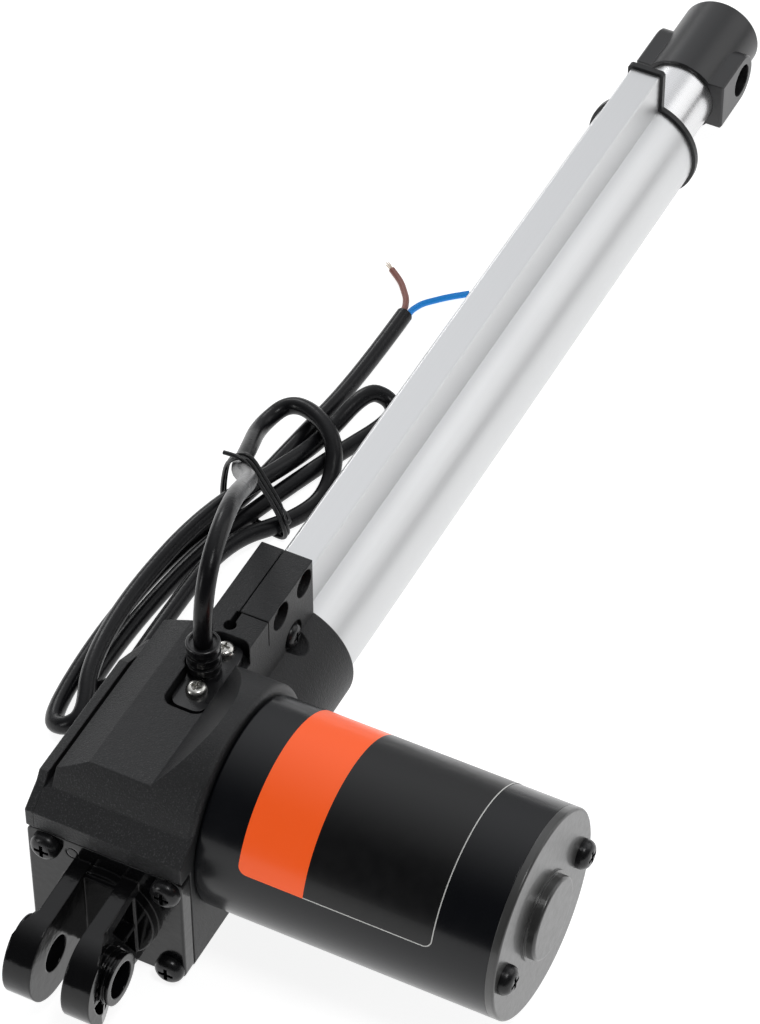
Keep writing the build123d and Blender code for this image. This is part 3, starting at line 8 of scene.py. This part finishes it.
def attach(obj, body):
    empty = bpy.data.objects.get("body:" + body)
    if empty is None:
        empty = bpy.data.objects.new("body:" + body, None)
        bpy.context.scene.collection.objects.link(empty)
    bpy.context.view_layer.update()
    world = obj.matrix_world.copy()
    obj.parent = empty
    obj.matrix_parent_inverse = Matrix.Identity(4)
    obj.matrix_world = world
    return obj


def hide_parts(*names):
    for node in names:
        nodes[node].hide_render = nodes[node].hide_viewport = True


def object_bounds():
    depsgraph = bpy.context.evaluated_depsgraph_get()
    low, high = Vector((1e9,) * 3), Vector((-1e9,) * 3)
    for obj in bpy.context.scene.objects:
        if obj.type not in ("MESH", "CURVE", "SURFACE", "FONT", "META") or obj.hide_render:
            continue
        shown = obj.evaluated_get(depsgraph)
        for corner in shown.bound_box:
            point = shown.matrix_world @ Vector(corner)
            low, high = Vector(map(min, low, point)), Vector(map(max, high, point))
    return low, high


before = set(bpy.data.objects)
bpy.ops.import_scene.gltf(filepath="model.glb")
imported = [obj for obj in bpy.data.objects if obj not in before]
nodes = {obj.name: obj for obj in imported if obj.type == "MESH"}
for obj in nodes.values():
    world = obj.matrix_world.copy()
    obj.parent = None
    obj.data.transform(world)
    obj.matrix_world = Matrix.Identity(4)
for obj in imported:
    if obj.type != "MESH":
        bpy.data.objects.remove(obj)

cad_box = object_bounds()

# The view: a long lens a little over a metre from the gearbox, above and behind its rear end on the
# motor side, so that the rod runs away towards the upper right.
lens_place = Vector((-0.58104, -0.38641, 0.88592))
image_right = Vector((0.453987, -0.890997, -0.004456))
image_up = Vector((0.645684, 0.325539, 0.690736))


def put_in_scene(name, data):
    """An object at the origin that holds the data."""
    item = bpy.data.objects.new(name, data)
    bpy.context.collection.objects.link(item)
    return item


camera_data = bpy.data.cameras.new("product_lens")
camera_data.lens = 158.73
camera_data.sensor_width = 36.0
camera_data.clip_start = 0.05
camera_data.clip_end = 20.0
camera = put_in_scene("product_camera", camera_data)
camera.matrix_world = Matrix.Translation(lens_place) @ Matrix(
    (image_right, image_up, image_right.cross(image_up))
).transposed().to_4x4()
bpy.context.scene.camera = camera

# Studio: one wide weak soft box beyond the rod on the motor side, and three small strong ones beyond it
# on the cord side, above the motor and behind the rear end. Powers are in watts.
def soft_box(name, place, target, width, height, power):
    """A rectangular lamp that faces its target."""
    light = bpy.data.lights.new(name, "AREA")
    light.shape = "RECTANGLE"
    light.size = width
    light.size_y = height
    light.energy = power
    lamp = put_in_scene(name, light)
    lamp.location = place
    lamp.rotation_euler = (Vector(target) - Vector(place)).to_track_quat("-Z", "Y").to_euler()


soft_box("motor_side_box", (1.0, -0.85, 0.7), target=(0.2, 0.0, 0.0), width=1.1, height=1.1, power=4.4)
soft_box("cord_side_box", (1.04, 0.9, 0.7), target=(0.2, 0.03, 0.0), width=0.35, height=0.35, power=2.2)
soft_box("overhead_box", (-0.1, -0.5, 1.4), target=(0.05, 0.0, 0.0), width=0.35, height=0.35, power=4.5)
soft_box("rear_box", (-0.9, 1.0, 0.5), target=(0.05, 0.0, 0.0), width=0.3, height=0.5, power=3)
bpy.context.scene.view_settings.view_transform = "Standard"


# Room: a studio hung with black flags, so that its light comes from high up beyond the rod and fades to
# next to nothing all round.
class Reading:
    """One output among a tree's nodes; arithmetic on readings adds Math nodes."""

    def __init__(self, tree, socket):
        self.tree = tree
        self.socket = socket

    def __add__(self, other):
        return self.tree.add("ShaderNodeMath", {"operation": "ADD"}, {0: self, 1: other})

    __radd__ = __add__

    def __sub__(self, other):
        return self.tree.add("ShaderNodeMath", {"operation": "SUBTRACT"}, {0: self, 1: other})

    def __rsub__(self, other):
        return self.tree.add("ShaderNodeMath", {"operation": "SUBTRACT"}, {0: other, 1: self})

    def __mul__(self, other):
        return self.tree.add("ShaderNodeMath", {"operation": "MULTIPLY"}, {0: self, 1: other})

    __rmul__ = __mul__

    def __gt__(self, other):
        return self.tree.add("ShaderNodeMath", {"operation": "GREATER_THAN"}, {0: self, 1: other})

    def __abs__(self):
        return self.tree.add("ShaderNodeMath", {"operation": "ABSOLUTE"}, {0: self})

    def at_least(self, floor):
        return self.tree.add("ShaderNodeMath", {"operation": "MAXIMUM"}, {0: self, 1: floor})


class Shading:
    """A node tree; add() makes every node and gives one of its outputs."""

    def __init__(self, tree):
        self.tree = tree

    def add(self, kind, settings=None, values=None, output=0):
        node = self.tree.nodes.new(kind)
        for setting, value in (settings or {}).items():
            setattr(node, setting, value)
        for key, value in (values or {}).items():
            if isinstance(value, Reading):
                self.tree.links.new(value.socket, node.inputs[key])
            else:
                node.inputs[key].default_value = value
        return Reading(self, node.outputs[output])


brightest_way = (0.55, 0.3, 0.78)
darkest_level = 0.06
cool_white = (0.97, 0.98, 1.0, 1.0)
room = bpy.data.worlds.new("studio_room")
room.use_nodes = True
room_light = Shading(room.node_tree)
heading = room_light.add("ShaderNodeTexCoord")
facing = room_light.add(
    "ShaderNodeVectorMath", {"operation": "DOT_PRODUCT"}, {0: heading, 1: brightest_way}, output="Value"
)
toward = facing.at_least(0.0)
room_level = toward * toward * toward + darkest_level
room_back = room.node_tree.nodes["Background"]
room.node_tree.links.new(room_level.socket, room_back.inputs["Strength"])
room_back.inputs["Color"].default_value = cool_white
bpy.context.scene.world = room


# Floor: a sheet of white acrylic lit from below, as product tables are, a hair under the lowest points
# of the collar and the cord.
class Finish(Shading):
    """A procedural material round one Principled shader."""

    def __init__(self, name, colour, metallic=0.0, coat=0.0, gleam=0.5):
        self.material = bpy.data.materials.new(name)
        self.material.use_nodes = True
        super().__init__(self.material.node_tree)
        self.shader = self.tree.nodes["Principled BSDF"]
        self.shader.inputs["Base Color"].default_value = (*colour, 1.0)
        self.shader.inputs["Metallic"].default_value = metallic
        self.shader.inputs["Coat Weight"].default_value = coat
        self.shader.inputs["Coat Roughness"].default_value = 0.08
        self.shader.inputs["Specular IOR Level"].default_value = gleam

    def place(self, stretch=(1.0, 1.0, 1.0)):
        """The surface's place in metres, in the object's own coordinates."""
        spot = self.add("ShaderNodeTexCoord", output="Object")
        return self.add("ShaderNodeMapping", None, {"Vector": spot, "Scale": stretch})

    def noise(self, scale, detail=3.0, rough=0.5, stretch=(1.0, 1.0, 1.0)):
        values = {"Vector": self.place(stretch), "Scale": scale, "Detail": detail, "Roughness": rough}
        return self.add("ShaderNodeTexNoise", None, values)

    def blend(self, amount, low, high):
        """Mixes two colours, which are sockets 6 and 7 of a Mix node, with its third output."""
        settings = {"data_type": "RGBA"}
        return self.add("ShaderNodeMix", settings, {0: amount, 6: low, 7: high}, output=2)

    def feed(self, name, reading):
        """Links a reading to the shader's socket of that name."""
        self.tree.links.new(reading.socket, self.shader.inputs[name])

    def roughen(self, pattern, least, spread):
        """Roughness rises with the pattern, from the least by the spread."""
        self.feed("Roughness", pattern * spread + least)

    def bump(self, height, distance, strength, edge=0.0):
        """Raises the pattern by the distance and softens the piece's edges over the edge's radius."""
        values = {"Height": height, "Strength": strength, "Distance": distance}
        if edge:
            values["Normal"] = self.add("ShaderNodeBevel", {"samples": 6}, {"Radius": edge})
        self.feed("Normal", self.add("ShaderNodeBump", None, values))

    def dress(self, *names):
        """Gives CAD nodes this finish in every material slot."""
        for name in names:
            for slot in nodes[name].material_slots:
                slot.material = self.material


floor_half_side = 6.0
floor_gap = 0.0002
acrylic = Finish("lit_acrylic", (0.45, 0.45, 0.45), gleam=0.0)
acrylic.roughen(acrylic.noise(scale=40.0), least=0.8, spread=0.1)
acrylic.shader.inputs["Emission Color"].default_value = (1.0, 1.0, 1.0, 1.0)
acrylic.shader.inputs["Emission Strength"].default_value = 0.88
floor_mesh = bmesh.new()
bmesh.ops.create_grid(floor_mesh, x_segments=1, y_segments=1, size=floor_half_side)
bmesh.ops.translate(floor_mesh, verts=floor_mesh.verts[:], vec=(0.0, 0.0, cad_box[0][2] - floor_gap))
floor_data = bpy.data.meshes.new("floor")
floor_mesh.to_mesh(floor_data)
floor_mesh.free()
floor_data.materials.append(acrylic.material)
floor = put_in_scene("floor", floor_data)


# Power cord: two-core flex in a black PVC sheath, about 0.83 m long, led out of the boot, arched over
# to the floor and folded into long bights there; its last stretch lies free and is cut off bare.
def bar_curve(name, radius, ring_detail, finish):
    """A curve that makes a round bar of each spline it is given."""
    curve = bpy.data.curves.new(name, "CURVE")
    curve.dimensions = "3D"
    curve.bevel_depth = radius
    curve.bevel_resolution = ring_detail
    curve.use_fill_caps = True
    curve.materials.append(finish.material)
    return curve


def smooth_run(curve, spots, steps):
    """Gives the curve one NURBS spline with the spots as its control points."""
    run = curve.splines.new("NURBS")
    run.points.add(len(spots) - 1)
    for point, spot in zip(run.points, spots):
        point.co = (*spot, 1.0)
    run.order_u = 3
    run.use_endpoint_u = True
    run.resolution_u = steps


cord_radius = 0.0025
cord_route = [
    (0.0731, 0.0009, 0.0443), (0.0731, 0.0009, 0.0630), (0.0985, 0.0065, 0.0695),
    (0.1300, 0.0180, 0.0425), (0.1550, 0.0335, 0.0140), (0.1700, 0.0444, -0.0019),
    (0.1820, 0.0478, -0.0070), (0.1980, 0.0532, -0.0145), (0.2095, 0.0476, -0.0110),
    (0.2000, 0.0295, -0.0087), (0.1860, 0.0244, -0.0165), (0.1720, 0.0280, -0.0165),
    (0.1525, 0.0400, -0.0125), (0.1210, 0.0410, -0.0140), (0.0930, 0.0390, -0.0110),
    (0.0898, 0.0453, -0.0132), (0.0936, 0.0491, -0.0165), (0.1200, 0.0492, -0.0165),
    (0.1500, 0.0458, -0.0165), (0.1720, 0.0382, -0.0151), (0.1980, 0.0302, -0.0165),
    (0.2200, 0.0209, -0.0165), (0.2244, 0.0254, -0.0142), (0.2210, 0.0312, -0.0109),
    (0.2030, 0.0358, -0.0165), (0.1830, 0.0388, -0.0116), (0.1560, 0.0476, -0.0077),
    (0.1220, 0.0521, -0.0101), (0.0930, 0.0482, -0.0076), (0.0785, 0.0412, -0.0096),
    (0.0744, 0.0454, -0.0126), (0.0780, 0.0526, -0.0165), (0.1120, 0.0552, -0.0165),
    (0.1460, 0.0526, -0.0165), (0.1720, 0.0440, -0.0151), (0.2000, 0.0416, -0.0165),
    (0.2280, 0.0380, -0.0165), (0.2585, 0.0380, -0.0165),
]
sheath = Finish("black_cord_sheath", (0.005, 0.005, 0.006), coat=0.06, gleam=0.2)
sheath.roughen(sheath.noise(scale=420.0, detail=4.0), least=0.2, spread=0.22)
sheath_waves = 0.8
sheath_relief = sheath.noise(scale=900.0) + sheath.noise(scale=160.0, detail=2.0) * sheath_waves
sheath.bump(sheath_relief, distance=0.00012, strength=0.5)
cord_data = bar_curve("power_cord_flex", cord_radius, ring_detail=6, finish=sheath)
smooth_run(cord_data, cord_route, steps=12)
power_cord = put_in_scene("power_cord_flex", cord_data)
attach(power_cord, "housing")
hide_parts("power_cord")

# Cores: the flex's two conductors, fine copper wires in brown and blue PVC. The sheath is cut back at
# the cord's end, and the two part there.
for core_name, core_colour in (("brown_core", (0.26, 0.11, 0.09)), ("blue_core", (0.003, 0.24, 0.72))):
    core_skin = Finish(core_name + "_skin", core_colour, gleam=0.3)
    core_skin.roughen(core_skin.noise(scale=600.0), least=0.3, spread=0.2)
    core_skin.dress(core_name)

# Strands: bright tinned copper wires that stand out of each core where its insulation was cut back, six
# round one, a little fanned out and not quite of one length.
wire_radius = 0.00016
ring_wires = 6
ring_radius = 0.00034
root_sunk = 0.001
straight_length = 0.0012
shortest_wire = 0.0026
length_step = 0.0002
fan_per_metre = 260
tinned = Finish("tinned_copper", (0.72, 0.6, 0.48), metallic=1.0)
tinned.roughen(tinned.noise(scale=1500.0), least=0.2, spread=0.3)
for strands_name, tip, run in (
    ("brown_strands", Vector((0.2751, 0.0504, -0.0179)), Vector((0.6, 0.8, -0.033))),
    ("blue_strands", Vector((0.2761, 0.0258, -0.0179)), Vector((0.65, -0.76, -0.016))),
):
    strands_data = bar_curve(strands_name, wire_radius, ring_detail=2, finish=tinned)
    side = run.cross(Vector((0.0, 0.0, 1.0))).normalized()
    rise = side.cross(run).normalized()
    for strand in range(ring_wires + 1):
        turn = math.tau * strand / ring_wires
        reach = 0.0 if strand == ring_wires else ring_radius
        offset = side * (reach * math.cos(turn)) + rise * (reach * math.sin(turn))
        wire_end = shortest_wire + length_step * (strand % 3)
        wire = strands_data.splines.new("POLY")
        wire.points.add(2)
        for point, far in zip(wire.points, (-root_sunk, straight_length, wire_end)):
            spread = offset * (1.0 + max(far, 0.0) * fan_per_metre)
            point.co = (*(tip + run * far + spread), 1.0)
    strands = put_in_scene(strands_name, strands_data)
    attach(strands, "housing")

# Tie: one plastic-covered wire, wound twice and a half round the strands of cord and drawn down across
# the uppermost, with one end left standing up and the other hooked.
tie_radius = 0.00062
tie_skin = Finish("tie_skin", (0.01, 0.01, 0.011))
tie_skin.roughen(tie_skin.noise(scale=700.0), least=0.22, spread=0.2)
tie_standing_end = [(0.1668, 0.0470, 0.0062), (0.1670, 0.0440, 0.0064)]
tie_down = [
    (0.1674, 0.0406, 0.0054), (0.1672, 0.0362, -0.0015), (0.1668, 0.0310, -0.0095),
    (0.1650, 0.0276, -0.0135),
]
tie_round = [
    (0.1650, 0.0272, -0.0164), (0.1655, 0.0295, -0.0183), (0.1670, 0.0380, -0.0183),
    (0.1685, 0.0465, -0.0183), (0.1692, 0.0492, -0.0170), (0.1692, 0.0494, -0.0125),
    (0.1690, 0.0486, -0.0060), (0.1684, 0.0472, 0.0002), (0.1676, 0.0442, 0.0046),
]
tie_pitch = Vector((0.0014, 0.0, 0.0))
tie_windings = 2
tie_hook = [
    (0.1662, 0.0280, -0.0122), (0.1672, 0.0272, -0.0128), (0.1690, 0.0285, -0.0126),
    (0.1699, 0.0310, -0.0116),
]
tie_path = tie_standing_end[:]
for winding in range(tie_windings):
    tie_path += [Vector(spot) + tie_pitch * winding for spot in tie_down + tie_round]
tie_path += [Vector(spot) + tie_pitch * tie_windings for spot in tie_down[:-1]]
tie_path += tie_hook
tie_data = bar_curve("wire_tie", tie_radius, ring_detail=3, finish=tie_skin)
smooth_run(tie_data, tie_path, steps=4)
wire_tie = put_in_scene("wire_tie", tie_data)
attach(wire_tie, "housing")
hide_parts("cord_tie")

# Cable gland: black rubber moulded in one piece, a flat flange that two screws hold down in the
# housing's pocket, with a ribbed boot and a cup round the cord.
gland_rubber = Finish("gland_rubber", (0.006, 0.006, 0.007), coat=0.3)
gland_rubber.roughen(gland_rubber.noise(scale=500.0), least=0.2, spread=0.2)
gland_rubber.bump(gland_rubber.noise(scale=1500.0), distance=0.00006, strength=0.5, edge=0.0003)
gland_rubber.dress("cable_gland")

# Gland screws: two M3 pan heads with cross recesses, of steel plated with zinc and left bright, driven
# down through the gland's flange into the nylon.
zinc = Finish("zinc_plate", (0.62, 0.61, 0.58), metallic=1.0)
zinc.roughen(zinc.noise(scale=900.0), least=0.16, spread=0.25)
zinc.bump(zinc.noise(scale=1200.0), distance=0.00003, strength=0.4, edge=0.0002)
zinc.dress("gland_screws")

# Gearbox housing, collar and far cover: moulded of glass-filled nylon. The eroded mould leaves a fine
# grain all over. Paler specks in the colour are painted glints of light off that grain, strongest on the
# slope at the rear.
glint_from = 0.56
glint_gain = 9.0
full_glint_until_x = 0.022
faint_glint_from_x = 0.05
faint_glint_share = 0.3
nylon_dark = (0.007, 0.0073, 0.008, 1.0)
nylon_light = (0.014, 0.0143, 0.0155, 1.0)
painted_glint_grey = (0.042, 0.043, 0.045, 1.0)
grain_roughness = 0.16
cloud_roughness = 0.1
least_roughness = 0.34
pit_share = 0.5
nylon = Finish("grained_nylon", (0.01, 0.01, 0.011), gleam=0.4)
grain = nylon.noise(scale=2300.0, detail=2.0, rough=0.6)
cloud = nylon.noise(scale=60.0, detail=4.0)
distance_x = nylon.add("ShaderNodeSeparateXYZ", None, {0: nylon.place()}, output="X")
glint_fade = nylon.add("ShaderNodeMapRange", None, {
    "Value": distance_x, "From Min": full_glint_until_x, "From Max": faint_glint_from_x, "To Min": 1.0,
    "To Max": faint_glint_share,
})
# Painted glints: paler specks where the grain pattern peaks, full on the rear slope and fainter further
# forward.
painted_glint = ((grain - glint_from) * glint_gain).at_least(0.0) * glint_fade
nylon.feed("Base Color", nylon.blend(painted_glint, nylon.blend(cloud, nylon_dark, nylon_light), painted_glint_grey))
nylon.feed("Roughness", grain * grain_roughness + cloud * cloud_roughness + least_roughness)
nylon_relief = grain + nylon.noise(scale=700.0) * pit_share
nylon.bump(nylon_relief, distance=0.00022, strength=0.8, edge=0.0006)
nylon.dress("gearbox_housing", "gearbox_cover")

# Rear bracket: a zinc die casting, two ears on a plate that four screws hold to the gearbox's rear
# face, in thick glossy black paint with a slight orange peel.
gloss_paint = Finish("gloss_black_paint", (0.004, 0.004, 0.0045), coat=0.15, gleam=0.26)
orange_peel = gloss_paint.noise(scale=380.0)
gloss_paint.roughen(orange_peel, least=0.08, spread=0.12)
gloss_paint.bump(orange_peel, distance=0.00012, strength=0.6, edge=0.0007)
gloss_paint.dress("rear_bracket")

# Black screws: blackened steel pan heads with cross recesses, four in the bracket's plate, two in the
# motor's end plate, and the others in the collar, the far cover and the motor's front.
black_oxide = Finish("black_oxide", (0.012, 0.012, 0.013), metallic=0.3)
black_oxide.roughen(black_oxide.noise(scale=800.0), least=0.16, spread=0.25)
black_oxide.bump(black_oxide.noise(scale=1200.0), distance=0.00004, strength=0.5, edge=0.0002)
black_oxide.dress(
    "rear_bracket_screws", "motor_end_screws", "tube_lock_screw", "cover_screws", "collar_clamp_screws",
    "motor_bolts",
)

# Motor can: drawn steel, 56 mm across, between the gearbox's barrel and the end plate, under an even
# coat of glossy black enamel.
enamel = Finish("motor_enamel", (0.003, 0.0035, 0.005), coat=0.07, gleam=0.32)
enamel.roughen(enamel.noise(scale=240.0), least=0.17, spread=0.1)
enamel.bump(enamel.noise(scale=300.0, detail=2.0), distance=0.00004, strength=0.35, edge=0.0004)
enamel.dress("motor_can")

# Label on the motor: one vinyl sticker wrapped round the can, an orange band and a blank black panel with
# a thin white line along its three free edges. The orange band also glows faintly: painted light that
# makes it brighter than the lamps alone would.
label_near_angle = math.radians(165.0)
label_sweep = math.radians(150.0)
label_front_y = -0.0335
label_rear_y = -0.0865
label_radius = 0.02808
motor_axis_x = 0.0532
motor_axis_z = 0.0167
label_length = label_radius * label_sweep
label_width = label_front_y - label_rear_y
label_strips = 96
corner_radius = 0.0024
corner_segments = 6
line_width = 0.0003
band_end = 0.0180
orange = (0.88, 0.1, 0.012, 1.0)
panel_black = (0.002, 0.002, 0.0025, 1.0)
line_white = (0.62, 0.62, 0.6, 1.0)
no_glow = (0.0, 0.0, 0.0, 1.0)
painted_orange_glow = 0.3
vinyl = Finish("label_vinyl", (0.9, 0.2, 0.03), coat=0.1, gleam=0.35)
label_spot = vinyl.add("ShaderNodeUVMap", {"uv_map": "flat_label"})
across = vinyl.add("ShaderNodeSeparateXYZ", None, {0: label_spot}, output="X")
along = vinyl.add("ShaderNodeSeparateXYZ", None, {0: label_spot}, output="Y")
in_panel = along > band_end
past_side = (abs(across - label_length / 2) - (label_length / 2 - corner_radius)).at_least(0.0)
past_rear = (along - (label_width - corner_radius)).at_least(0.0)
near_edge = past_side * past_side + past_rear * past_rear > (corner_radius - line_width) ** 2
inks = vinyl.blend(in_panel, orange, panel_black)
vinyl.feed("Base Color", vinyl.blend(in_panel * near_edge, inks, line_white))
# Painted glow: the orange band gives off light of its own, though it is no lamp.
vinyl.feed("Emission Color", vinyl.blend(in_panel, orange, no_glow))
vinyl.shader.inputs["Emission Strength"].default_value = painted_orange_glow
vinyl.roughen(vinyl.noise(scale=300.0), least=0.25, spread=0.15)
label_mesh = bmesh.new()
corners = [label_mesh.verts.new(corner) for corner in (
    (0.0, 0.0, 0.0), (label_length, 0.0, 0.0), (label_length, label_width, 0.0), (0.0, label_width, 0.0)
)]
label_mesh.faces.new(corners)
bmesh.ops.bevel(
    label_mesh, geom=corners, affect="VERTICES", offset=corner_radius, segments=corner_segments,
    profile=0.5, material=-1,
)
for cut in range(1, label_strips):
    bmesh.ops.bisect_plane(
        label_mesh, geom=label_mesh.verts[:] + label_mesh.edges[:] + label_mesh.faces[:],
        plane_co=(label_length * cut / label_strips, 0.0, 0.0), plane_no=(1.0, 0.0, 0.0),
    )
flat_label = label_mesh.loops.layers.uv.new("flat_label")
for face in label_mesh.faces:
    for loop in face.loops:
        loop[flat_label].uv = (loop.vert.co.x, loop.vert.co.y)
for vert in label_mesh.verts:
    angle = label_near_angle - vert.co.x / label_radius
    vert.co = (
        motor_axis_x + label_radius * math.cos(angle), label_front_y - vert.co.y,
        motor_axis_z + label_radius * math.sin(angle),
    )
bmesh.ops.recalc_face_normals(label_mesh, faces=label_mesh.faces[:])
label_data = bpy.data.meshes.new("motor_label")
label_mesh.to_mesh(label_data)
label_mesh.free()
for face in label_data.polygons:
    face.use_smooth = True
label_data.materials.append(vinyl.material)
label = put_in_scene("motor_label", label_data)
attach(label, "housing")

# Motor end plate: a die casting with a raised cap over the shaft's end, held on by two screws, in satin
# black paint.
satin_paint = Finish("satin_black_paint", (0.045, 0.045, 0.044), coat=0.3, gleam=0.5)
satin_paint.roughen(satin_paint.noise(scale=500.0), least=0.25, spread=0.15)
satin_paint.bump(satin_paint.noise(scale=900.0), distance=0.00007, strength=0.5, edge=0.0004)
satin_paint.dress("motor_end_plate")

# Outer tube: an aluminium extrusion, round with a narrow channel for the switches along its top, matt
# anodised. The die leaves faint lines along its length.
along_tube = (6.0, 1400.0, 1400.0)
line_roughness = 0.14
fog_roughness = 0.08
smoothest_metal = 0.27
line_dark = (0.64, 0.645, 0.65, 1.0)
line_light = (0.68, 0.685, 0.69, 1.0)
anodised = Finish("anodised_extrusion", (0.66, 0.665, 0.67), metallic=0.9)
die_lines = anodised.noise(scale=1.0, detail=4.0, rough=0.6, stretch=along_tube)
fog = anodised.noise(scale=25.0, detail=2.0)
anodised.feed("Roughness", die_lines * line_roughness + fog * fog_roughness + smoothest_metal)
anodised.feed("Base Color", anodised.blend(die_lines, line_dark, line_light))
anodised.bump(die_lines, distance=0.00002, strength=0.3, edge=0.0003)
anodised.dress("outer_tube")

# End cap and wiper: black acetal mouldings, the cap on the extrusion's front end and the ring round the
# rod in it. The guide bush, the brush holder and the switches' cases have the same finish.
acetal = Finish("black_acetal", (0.008, 0.008, 0.009), gleam=0.4)
acetal.roughen(acetal.noise(scale=700.0), least=0.26, spread=0.25)
acetal.bump(acetal.noise(scale=900.0), distance=0.00004, strength=0.5, edge=0.0003)
acetal.dress("tube_end_cap", "rod_wiper", "brush_holder", "limit_switches", "guide_bush")

# Inner tube: drawn aluminium, 22 mm across, which slides out through the wiper. It is ground bright,
# which leaves fine lines round it.
round_tube = (5200.0, 8.0, 8.0)
ground = Finish("ground_aluminium", (0.72, 0.72, 0.725), metallic=1.0)
grinding_lines = ground.noise(scale=1.0, rough=0.6, stretch=round_tube)
ground.roughen(grinding_lines, least=0.2, spread=0.16)
ground.bump(grinding_lines, distance=0.00003, strength=0.3)
ground.dress("inner_tube")

# Rod end: turned aluminium with two bosses milled flat and a cross hole for the front pin, anodised
# black over the marks that the tools left round it.
round_rod_end = (3600.0, 10.0, 10.0)
turned = Finish("black_anodised", (0.012, 0.012, 0.013), metallic=0.2, gleam=0.7)
tool_marks = turned.noise(scale=1.0, rough=0.6, stretch=round_rod_end)
turned.roughen(tool_marks, least=0.27, spread=0.16)
turned.bump(tool_marks, distance=0.00004, strength=0.3, edge=0.0005)
turned.dress("rod_end")

# Pieces inside the gearbox, the motor and the tube, which no view shows from outside: ground steel on
# the shafts, bronze in the wheel and bushes, copper windings, an uncoloured acetal nut, the switches'
# board, and sintered magnets and brushes.
steel = Finish("ground_steel", (0.5, 0.5, 0.51), metallic=1.0)
steel.roughen(steel.noise(scale=700.0), least=0.2, spread=0.2)
steel.dress(
    "lead_screw", "screw_end_stop", "wheel_cross_pin", "rear_sleeve", "front_sleeve",
    "rear_thrust_bearing", "front_spindle_bearing", "nut_pins", "rotor_shaft", "worm",
    "motor_front_bearing", "armature_core", "motor_front_plate",
)
bronze = Finish("oiled_bronze", (0.5, 0.3, 0.12), metallic=1.0)
bronze.roughen(bronze.noise(scale=500.0), least=0.25, spread=0.25)
bronze.dress("worm_wheel", "worm_end_bush", "motor_rear_bush", "commutator")
copper = Finish("winding_copper", (0.55, 0.2, 0.08), metallic=1.0)
copper.roughen(copper.noise(scale=900.0), least=0.2, spread=0.3)
copper.dress("armature_windings")
nut_acetal = Finish("natural_acetal", (0.72, 0.71, 0.66))
nut_acetal.roughen(nut_acetal.noise(scale=400.0), least=0.35, spread=0.2)
nut_acetal.dress("drive_nut")
solder_mask = Finish("green_board", (0.015, 0.12, 0.04))
solder_mask.roughen(solder_mask.noise(scale=500.0), least=0.25, spread=0.2)
solder_mask.dress("switch_board")
ferrite = Finish("sintered_ferrite", (0.035, 0.033, 0.032))
ferrite.roughen(ferrite.noise(scale=900.0), least=0.6, spread=0.2)
ferrite.dress("motor_magnets", "carbon_brushes")
